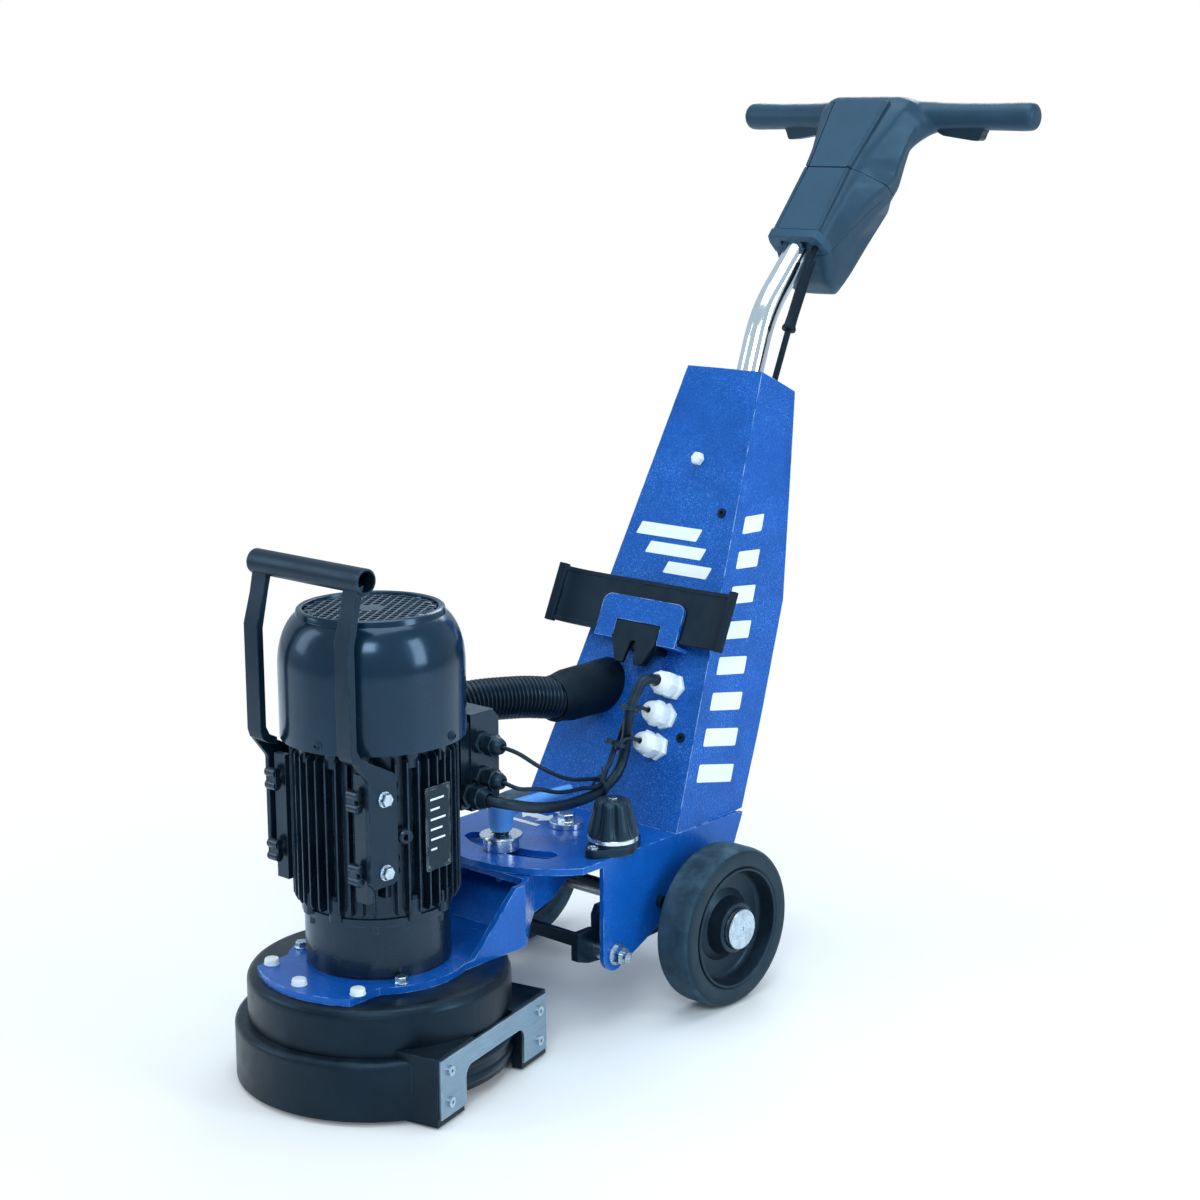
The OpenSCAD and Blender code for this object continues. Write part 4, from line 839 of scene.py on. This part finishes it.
def saddle():
    low, high = node_box("saddle_strip")
    half = high.x
    # Centre line across the strip: flat in the middle, swept forward at both ends, with a lip
    line = [(0, -21.5), (60, -21.5), (96, -22.5), (118, -26), (131, -32), (half - 3, -36)]
    line = [(-x, t) for x, t in line[:0:-1]] + line
    curve = spline([(x, t, 0) for x, t in line], 6)
    outline = [(p.x, p.y - 2.5) for p in curve] + [(p.x, p.y + 2.5) for p in reversed(curve)]
    bm = prism(outline, 219, 289, "xy")
    for side in (-1, 1):
        lip = [(side * (half - 13), -31), (side * (half - 12), -38), (side * (half - 1), -41), (side * half, -33)]
        prism(rounded(lip, 2.5), 217, 291, "xy", bm)
    for s in (222, 286):
        ridge = [(p.x * 0.985, p.y - 3.6) for p in curve] + [(p.x * 0.985, p.y + 1) for p in reversed(curve)]
        prism(ridge, s - 2.5, s + 2.5, "xy", bm)
    place(bm, "saddle_pad", "chassis", MATT_BLACK, ("saddle_strip",), bevel=0.9, matrix=LEAN, smooth=40)

    outline = [(-34, 235), (34, 235), (34, 212), (21, 184), (8, 184), (4, 212), (-4, 212), (-8, 184), (-21, 184),
               (-34, 212)]
    bm = prism(rounded(outline, 2.5, 3), -28.5, -23.5, "xz")
    prism(rounded(rect(-34, 34, 203, 218), 3), -24, -0.2, "xz", bm)
    for side in (-1, 1):
        rib = [(side * 30, 214), (side * 30, 208), (side * 19, 186), (side * 16, 186), (side * 16, 214)]
        prism(rounded(rib, 1.5, 2), -24, -14, "xz", bm)
    place(bm, "cable_hook", "chassis", MATT_BLACK, ("fork_hook",), bevel=1.1, matrix=LEAN)

    # White cap over the bolt in the tower's face
    bm = lathe([(0, 0.1), (8.8, 0.1), (9, 2), (8.6, 6.5), (7.4, 8.4), (5, 9.2), (0, 9.4)], 6,
               along((0, 0, 453), (0, -1, 0)))
    place(bm, "face_cap", "chassis", WHITE_PLASTIC, bevel=1, matrix=LEAN)


def decals():
    """Plain slanted bars where the machine carries film: a generic pattern with no letters."""
    bm = bmesh.new()
    # Side of the tower: bars climbing the panel, on the sloping side face
    half = node_box("tower_shell")[1].x
    tilt = atan(SIDE_SLOPE)
    for side in (-1, 1):
        face = LEAN @ shift(side * half, 0, 0) @ Matrix.Rotation(-side * tilt, 4, "Y")
        for k in range(8):
            s = 66 + 44 * k
            far = 94 - 0.1 * s
            outline = [(20, s), (far, s + 15), (far, s + 37), (20, s + 22)]
            prism(rounded(outline, 2.5, 3), -0.35, 0.4, "yz", bm, face)
    # Short bars on the face
    for x0, x1, s0, s1 in ((-66, 30, 350, 366), (-44, 44, 328, 343), (-8, 60, 306, 321)):
        prism(rounded([(x0, s0), (x1, s0), (x1 + 5, s1), (x0 + 5, s1)], 1.5, 3), -0.3, 0.3, "xz", bm, LEAN)
    # Double-headed swing mark on the deck
    mark = [(-78, 312), (-62, 296), (-62, 305), (-42, 305), (-42, 296), (-26, 312), (-42, 328), (-42, 319),
            (-62, 319), (-62, 328)]
    prism(mark, DECK_TOP - 0.2, DECK_TOP + 0.3, "xy", bm)
    for y in (282, 336):
        prism(rounded(rect(-78, -26, y, y + 7), 1.5, 3), DECK_TOP - 0.2, DECK_TOP + 0.3,
              "xy", bm)
    place(bm, "film_marks", "chassis", DECAL)


def knob():
    low, high = node_box("adjusting_knob")
    centre = (low + high) / 2
    axis = shift(centre.x, centre.y, 0)
    base, top = node_box("spindle_flange")[1].z + 0.2, high.z
    bm = bmesh.new()
    steps, lobes = 144, 8
    # (height as a share, radius, depth of the flutes)
    levels = [(0, 29, 0), (0.02, 30.4, 0.3), (0.1, 30.7, 0.7), (0.3, 28.4, 1), (0.62, 24.4, 1),
              (0.84, 22.6, 1), (0.92, 21.4, 0.9), (0.975, 19.2, 0.6), (1, 16.5, 0.2)]
    rows = []
    for u, r, depth in levels:
        row = []
        for k in range(steps):
            a = 2 * pi * k / steps
            wave = (0.5 + 0.5 * cos(lobes * a)) ** 2
            reach = r * (1 - 0.19 * depth * wave)
            row.append(bm.verts.new((reach * cos(a), reach * sin(a), base + (top - base) * u)))
        rows.append(row)
    skin(bm, rows)
    lathe([(0, top - 0.2), (9, top - 0.2), (8.6, top + 0.6), (0, top + 0.8)], 32, None, bm)
    rod(6, low.z, base + 1, 24, None, bm)
    rod(10, 190.4, 194.4, 24, None, bm)
    place(bm, "fluted_knob", "knob", KNOB_PLASTIC, ("adjusting_knob",), matrix=axis, smooth=35)
    bm = lathe([(0, top + 0.7), (6.2, top + 0.7), (5.8, top + 2.2), (0, top + 2.4)], 6, axis)
    place(bm, "knob_screw", "knob", ZINC, bevel=0.3)
    bm = lathe([(8, base - 5.9), (28.6, base - 5.9), (29.4, base - 5.2), (29.4, base - 0.9), (28.6, base - 0.1),
                (8, base - 0.1)], 72, axis)
    place(bm, "knob_ring", "chassis", POLISHED)

    # Two screws in the knob's flange, two black plugs in the tower
    bm = bmesh.new()
    for end in (-1, 1):
        m = shift(centre.x, centre.y + 34.5 * end, DECK_TOP + 10.1)
        lathe([(3.2, 0), (6.4, 0), (6.4, 1.4), (5.6, 2.4), (3.4, 2.6), (3, 1), (0, 1), (0, 0)], 28, m, bm)
    place(bm, "flange_screws", "chassis", ZINC, ("frame_screws",))
    bm = bmesh.new()
    for x, s in ((57, 390), (88, 112)):
        m = LEAN @ along((x, 0.4, s), (0, -1, 0))
        lathe([(1.8, 0), (6.2, 0), (6, 1.6), (4.6, 2.2), (2.6, 2), (1.8, 0.7)], 28, m, bm)
    place(bm, "tower_plugs", "chassis", MATT_BLACK)

    # Pivot: polished shouldered washer under a hexagon head
    pivot = shift(0, node_centre("swing_bolt").y, DECK_TOP)
    bm = lathe([(5, 0.1), (20, 0.1), (20.5, 0.7), (20.5, 6.4), (19.8, 7.2), (11, 7.3), (10.6, 7.9), (5, 7.9)], 64,
               pivot)
    place(bm, "pivot_washer", "chassis", POLISHED, ("swing_bolt",))
    bm = bmesh.new()
    bolt(pivot @ Vector((0, 0, 7.9)), (0, 0, 1), 19, 8, bm)
    bolt(pivot @ Vector((0, 0, -33)), (0, 0, -1), 30, 9, bm)
    rod(9.9, -36, 1, 40, pivot, bm)
    place(bm, "pivot_bolt", "chassis", ZINC, bevel=0.3)


def clamp():
    centre = node_centre("clamp_collar")
    m = shift(centre.x, centre.y, DECK_TOP)
    bm = lathe([(6.1, 0.1), (20.4, 0.1), (20.9, 0.7), (20.9, 14.2), (22.4, 14.6), (24.6, 15), (25, 15.6), (25, 17.2),
                (24.4, 17.9), (12, 18), (11.6, 17.2), (6.1, 17.2)], 72, m)
    lathe(rect(6.1, 8, node_box("clamp_collar")[0].z - DECK_TOP, 0.4), 32, m, bm)
    place(bm, "clamp_washer", "head", POLISHED, ("clamp_collar",), slot="chrome")

    # Lever: tapered hub and arm, fused and smoothed
    foot = m @ shift(0, 0, 18.2)
    bm = lathe([(0, 4), (12.2, 4), (13, 5), (14.6, 18), (16.6, 33), (16.2, 35.8), (14.6, 37), (0, 37)], 48)
    aim = polar(1, 72)
    arm = [aim * d + Vector((0, 0, h)) for d, h in ((0, 25), (18, 29), (50, 33.5), (80, 37), (94, 38.5))]
    sizes, steps = (9, 8.6, 7.3, 6.9, 6.2), 6

    def arm_radius(i):
        k, u = i // steps, i % steps / steps
        return sizes[min(4, k)] * (1 - u) + sizes[min(4, k + 1)] * u

    sweep(spline(arm, steps), arm_radius, 20, bm)
    lever = place(bm, "clamp_handle", None, SKY_PLASTIC, ("clamp_lever",),
                  matrix=foot, smooth=60)
    fuse(lever, 1.1, 6)
    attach(lever, "lever")
    bm = rod(9.2, 0.1, 5.2, 32, foot)
    lathe([(0, 36.4), (6.6, 36.4), (6.4, 41.6), (5.4, 43.6), (0, 44)], 32, foot, bm)
    place(bm, "clamp_core", "lever", KNOB_PLASTIC, bevel=0.3)


def fuse(obj, voxel, rounds):
    """Merges an object's overlapping shells into one smooth skin."""
    remesh = obj.modifiers.new("merge", "REMESH")
    remesh.mode = "VOXEL"
    remesh.voxel_size = voxel * MM
    relax = obj.modifiers.new("relax", "SMOOTH")
    relax.factor = 0.5
    relax.iterations = rounds
    apply_modifiers(obj)
    obj.data.polygons.foreach_set("use_smooth", [True] * len(obj.data.polygons))


# ---------- wheels ----------

def wheels():
    for side, word in ((-1, "left"), (1, "right")):
        low, high = node_box(word + "_tyre")
        width, radius = high.x - low.x, (high.z - low.z) / 2
        inner = low.x if side > 0 else high.x
        hub = (low + high) / 2
        m = along((inner, hub.y, hub.z), (side, 0, 0))
        seat = node_box(word + "_rim")
        rim_r = (seat[1].z - seat[0].z) / 2
        tyre = [(rim_r, 3.5), (75, 1.2), (82, 0.6)] + arc(radius - 9, 9, 8.4, -90, -8, 6)
        tyre += [(radius, 13), (radius, width - 13)] + arc(radius - 9, width - 9, 8.4, 8, 90, 6)
        tyre += [(82, width - 0.6), (75, width - 1.4), (rim_r, width - 3.5)]
        bm = lathe(tyre, 128, m)
        place(bm, word + "_tread", word + "_wheel", TREAD, (word + "_tyre",), smooth=30)
        wall = [(rim_r, width - 5), (rim_r, width - 3.2), (75, width - 1), (82, width - 0.25)]
        wall += arc(radius - 9, width - 9, 8.7, 90, 50, 5) + [(radius - 10, width - 5)]
        bm = lathe(wall[::-1], 128, m)
        place(bm, word + "_sidewall", word + "_wheel", SIDEWALL, smooth=30)
        rim = [(10.1, 0.4), (24, 0.4), (24.4, 8), (60, 14), (64, 4), (rim_r, 3.6), (rim_r, width - 3.6)]
        rim += arc(rim_r - 1.6, width - 1.8, 1.6, 20, 170, 6) + [(68.4, width - 3.4), (67.2, width - 15)]
        rim += arc(58.6, width - 16, 8.4, 0, -70, 6) + [(44, width - 24), (35.5, width - 19)]
        rim += [(30.6, width - 4.2)] + arc(28.6, width - 4, 2, 0, 90, 4)
        rim += [(25.4, width - 1.8), (24.8, width - 3), (10.1, width - 3)]
        bm = lathe(rim, 128, m)
        place(bm, word + "_hub", word + "_wheel", RIM_PLASTIC, (word + "_rim",), smooth=30)
        cap = node_box("axle_caps")[1].x
        out = cap - abs(inner)
        face = [(0, width - 2.6), (23.8, width - 2.6), (24.2, width - 2), (24.2, out - 0.8), (23.2, out + 0.2),
                (0, out + 0.2)]
        place(lathe(face, 96, m), word + "_cap_face", "yoke", ZINC, smooth=30)
        bm = bmesh.new()
        bolt((side * (cap - 1.6), hub.y, hub.z), (side, 0, 0), 7.2, 2.2, bm, dome=True)
        place(bm, word + "_cap_screw", "yoke", ZINC, bevel=0.2)


# ---------- handle head ----------

GRIP_HINGE = (0, 924, 1029)
SWEEP_BACK = radians(5)
PANEL_FOOT = Vector((0, 745, 887))
PANEL_UP = Vector((0, 139, 164)).normalized()
PANEL_IN = Vector((0, 0.7629, -0.6465))
HEAD = Matrix(((1, 0, 0, PANEL_FOOT.x), (0, PANEL_IN.y, PANEL_UP.y, PANEL_FOOT.y),
               (0, PANEL_IN.z, PANEL_UP.z, PANEL_FOOT.z), (0, 0, 0, 1)))


def grip_frame(side):
    return Matrix.Translation(GRIP_HINGE) @ Matrix.Rotation(side * SWEEP_BACK, 4, "Z")


def section(bm, height, points):
    """One ring of the head: half an outline of (x, depth), mirrored."""
    full = points + [(-x, n) for x, n in reversed(points) if x > 0]
    return [bm.verts.new((x, n, height)) for x, n in full]


def head_shell():
    """The housing with its two grips, fused into one skin."""
    bm = bmesh.new()
    # (height along the panel, half outline from the middle of the panel round to the middle of the back)
    rings = [
        (-34, [(0, 62), (24, 62), (30, 66), (32, 72), (31, 80), (28, 85), (0, 86)]),
        (-30, [(0, 52), (30, 52), (36, 60), (38, 68), (36, 78), (31, 90), (0, 91)]),
        (-10, [(0, 16), (34, 16), (41, 24), (43, 40), (40, 62), (34, 92), (0, 94)]),
        (0, [(0, 2.5), (36, 2.5), (41, 9), (44, 32), (40, 60), (34, 94), (0, 96)]),
        (40, [(0, 2.5), (36, 2.5), (42, 9), (46, 36), (42, 64), (35, 98), (0, 100)]),
        (85, [(0, 2.5), (36, 2.5), (44, 10), (54, 42), (48, 72), (36, 102), (0, 104)]),
        (110, [(0, 2.5), (36, 2.5), (44, 10), (64, 46), (56, 76), (37, 104), (0, 107)]),
        (130, [(0, 2.5), (37, 2.5), (45, 10), (72, 44), (62, 72), (36, 98), (0, 102)]),
        (153, [(0, 2.5), (41, 2.5), (51, 9), (70, 42), (62, 66), (34, 88), (0, 94)]),
        (180, [(0, 2.5), (45, 2.5), (58, 9), (73, 38), (62, 60), (32, 74), (0, 78)]),
        (206, [(0, 2.5), (49, 2.5), (64, 9), (77, 34), (62, 56), (32, 64), (0, 66)]),
        (226, [(0, 7), (48, 7), (63, 14), (76, 34), (60, 54), (32, 62), (0, 63)]),
        (241, [(0, 25), (44, 25), (56, 29), (66, 40), (54, 52), (30, 58), (0, 59)]),
    ]
    skin(bm, [section(bm, h, points) for h, points in rings])
    bmesh.ops.transform(bm, matrix=HEAD, verts=bm.verts)
    half = node_box("handle_housing")[1].x - 1.5
    for side in (-1, 1):
        turn = grip_frame(side)
        end = half / cos(SWEEP_BACK) - 2
        grip = [(0, 40), (20.5, 40), (20.5, 66), (19.4, 84), (18.2, 100), (17.6, 125), (17.4, 160), (18, 190),
                (18.4, 212)]
        grip += [(r, z) for r, z in arc(10.4, end - 8, 8, 20, 88, 5)] + [(0, end)]
        lathe(grip, 40, turn @ along((0, 0, 0), (side, 0, 0)), bm)
        # Web that carries the grip's underside down into the side of the head
        for k in range(5):
            u = k / 4
            start = HEAD @ Vector((side * (36 + 6 * u), 40 + 4 * u, 122 + 22 * k))
            stop = turn @ Vector((side * (62 + 9 * k), 2, -3 + 2 * u))
            web = [start, start.lerp(stop, 0.5) + Vector((side * -2, 0, 1)), stop]
            sweep(spline(web, 5), lambda i: 18 - 0.1 * i, 20, bm)
    shell = place(bm, "handle_shell", None, HEAD_PLASTIC, ("handle_housing", "handle_cover"))
    fuse(shell, 2, 24)
    return shell


def parting_lines(shell):
    """V grooves round the shell and along its side."""
    bm = bmesh.new()
    bm.from_mesh(shell.data)
    inverse = HEAD.inverted()
    for point, normal, keep in (
            ((0, 0, 104), (0, -0.18, 1), lambda p: p.y < 84),
            ((0, 30, -6), (0, 1, -0.3), lambda p: p.z < 103)):
        co = in_row(HEAD @ Vector(point))
        no = (HEAD.to_3x3() @ Vector(normal)).normalized()
        for shift in (-0.7, 0, 0.7):
            geom = bm.verts[:] + bm.edges[:] + bm.faces[:]
            cut = bmesh.ops.bisect_plane(bm, geom=geom, plane_co=co + no * shift * MM, plane_no=no, dist=1e-7)
            if shift == 0:
                middle = [v for v in cut["geom_cut"] if isinstance(v, bmesh.types.BMVert)]
        bm.normal_update()
        for v in middle:
            if v.is_valid and keep(inverse @ (v.co / MM - SPINDLE)):
                v.co -= v.normal * 1.1 * MM
    bm.to_mesh(shell.data)
    bm.free()
    shade(shell, 42)
    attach(shell, "chassis")


def head_trim():
    # Flat front panel in two plates, with a raised bead down each side
    bm = bmesh.new()
    lower = [(-31, 4), (31, 4), (29.6, 102.8), (-29.6, 102.8)]
    upper = [(-29.6, 104.4), (29.6, 104.4), (40, 208), (36, 214), (-36, 214), (-40, 208)]
    for outline in (lower, upper):
        prism(outline, -1.2, 5, "xz", bm)
    place(bm, "head_panel", "chassis", PANEL_PLASTIC, matrix=HEAD, bevel=0.5)
    bm = bmesh.new()
    for side in (-1, 1):
        for z0, z1, x0, x1 in ((1, 102.6, 35.4, 35), (104.6, 212, 35, 45.6)):
            outline = [(side * (x0 - 4.6), z0), (side * x0, z0), (side * x1, z1), (side * (x1 - 4.6), z1)]
            prism(outline, -2.2, 5, "xz", bm)
    place(bm, "head_beads", "chassis", HEAD_PLASTIC, matrix=HEAD, bevel=1)
    # Lip and skirt round the tube's entry
    bm = bmesh.new()
    lip = [(-37, -4), (37, -4), (42, 10), (43, 30), (30, 30), (22, 6), (-22, 6), (-30, 30), (-43, 30), (-42, 10)]
    prism(rounded(lip, 2, 2), -11, 2, "xy", bm)
    place(bm, "head_lip", "chassis", PANEL_PLASTIC, matrix=HEAD, bevel=1.2)


def switch_levers():
    for side, word in ((-1, "left"), (1, "right")):
        turn = grip_frame(side)
        blade = [(90, -13.5), (92, -20), (100, -24), (124, -27.5), (142, -30), (150, -30.5), (153, -28), (155, -22),
                 (158, -17), (157, -14.5), (140, -14.2), (116, -13.6)]
        blade = [(side * x, z) for x, z in blade]
        bm = prism(rounded(blade, 1.6, 3), -8.5, 8.5, "xz", None, turn)
        place(bm, word + "_switch_lever", word + "_lever", KNOB_PLASTIC, (word + "_trigger",), bevel=1.2)


fan_cowl()
motor_housing()
skirt_beads()
lift_handle()
motor_extras()
glands()
dust_hose()
cables()
saddle()
decals()
knob()
clamp()
wheels()
parting_lines(head_shell())
head_trim()
switch_levers()


# ---------- studio ----------

def floor():
    """A wide flat sheet; away from the machine it fades into the white surroundings."""
    bm = bmesh.new()
    reach = 9000
    bm.faces.new([bm.verts.new((x * reach, y * reach, 0)) for x, y in ((-1, -1), (1, -1), (1, 1), (-1, 1))])
    obj = place(bm, "studio_floor", None, FLOOR_PAINT)
    obj.location.z = -0.0005
    tree = FLOOR_PAINT.node_tree
    out = next(n for n in tree.nodes if n.type == "OUTPUT_MATERIAL")
    painted = out.inputs["Surface"].links[0].from_socket
    glow = add_node(tree, "Emission")
    mix = add_node(tree, "MixShader")
    coords = add_node(tree, "TexCoord")
    away = add_node(tree, "VectorMath", {0: coords.outputs["Object"],
                                                   1: SPINDLE * MM + Vector((0, 0.25, 0))}, operation="DISTANCE")
    fade = add_node(tree, "MapRange", {"Value": away.outputs["Value"], "From Min": 0.15,
                                                 "From Max": 1.15}, interpolation_type="SMOOTHSTEP")
    seen = add_node(tree, "LightPath")
    both = add_node(tree, "Math", {0: fade.outputs[0], 1: seen.outputs["Is Camera Ray"]},
                    operation="MULTIPLY")
    join(tree, mix, {0: both.outputs[0], 1: painted, 2: glow.outputs[0]})
    join(tree, out, {"Surface": mix.outputs[0]})


def light(name, location, target, size, power, colour):
    """A soft lamp. location and target are in metres from the spindle's foot."""
    location, target = (Vector(v) + SPINDLE * MM for v in (location, target))
    data = bpy.data.lights.new(name, "AREA")
    data.shape = "RECTANGLE"
    data.size, data.size_y = size
    data.energy = power
    data.color = colour
    obj = bpy.data.objects.new(name, data)
    obj.location = location
    obj.rotation_euler = (target - location).to_track_quat("-Z", "Y").to_euler()
    bpy.context.collection.objects.link(obj)


floor()
AIM = (0, 0.35, 0.45)
light("key", (2.2, -2.6, 2.9), AIM, (1.6, 1.2), 60, (0.82, 0.93, 1))
light("left_box", (-2.4, -1.8, 1.9), AIM, (1, 2.2), 22, (0.8, 0.92, 1))
light("right_box", (2.9, 1, 1.5), AIM, (0.9, 2), 40, (0.82, 0.93, 1))
light("top", (0, 0.3, 3.4), AIM, (2.6, 2.6), 58, (0.92, 0.97, 1))
light("rear", (-1.2, 3.2, 2.4), AIM, (2, 1.2), 36, (0.9, 0.96, 1))


def backdrop():
    """White to the camera, dimmer and cooler to everything it lights."""
    world = bpy.data.worlds.new("studio")
    world.use_nodes = True
    tree = world.node_tree
    tree.nodes.clear()
    out = add_node(tree, "OutputWorld")
    mix = add_node(tree, "MixShader")
    path = add_node(tree, "LightPath")
    seen = add_node(tree, "Background", {"Color": (1, 1, 1, 1)})
    cast = add_node(tree, "Background", {"Color": (0.72, 0.87, 1, 1)})
    gain = add_node(tree, "Math", {0: path.outputs["Is Glossy Ray"], 1: 0.22, 2: 0.4},
                    operation="MULTIPLY_ADD")
    join(tree, cast, {"Strength": gain.outputs[0]})
    join(tree, mix, {0: path.outputs["Is Camera Ray"], 1: cast.outputs[0], 2: seen.outputs[0]})
    join(tree, out, {0: mix.outputs[0]})
    bpy.context.scene.world = world


backdrop()
bpy.context.scene.view_settings.view_transform = "Standard"

camera = bpy.data.objects.new("camera", bpy.data.cameras.new("camera"))
camera.data.lens = 68.9
camera.data.sensor_width = 36
camera.data.clip_end = 50
bpy.context.collection.objects.link(camera)
forward = Vector((-0.64986, 0.73011, -0.21124)).normalized()
right = Vector((0.74751, 0.66424, -0.00382)).normalized()
upward = right.cross(forward).normalized()
eye = in_row((1775.45, -1626.06, 1047.17))
camera.matrix_world = Matrix((
    (right.x, upward.x, -forward.x, eye.x),
    (right.y, upward.y, -forward.y, eye.y),
    (right.z, upward.z, -forward.z, eye.z),
    (0, 0, 0, 1)))
bpy.context.scene.camera = camera
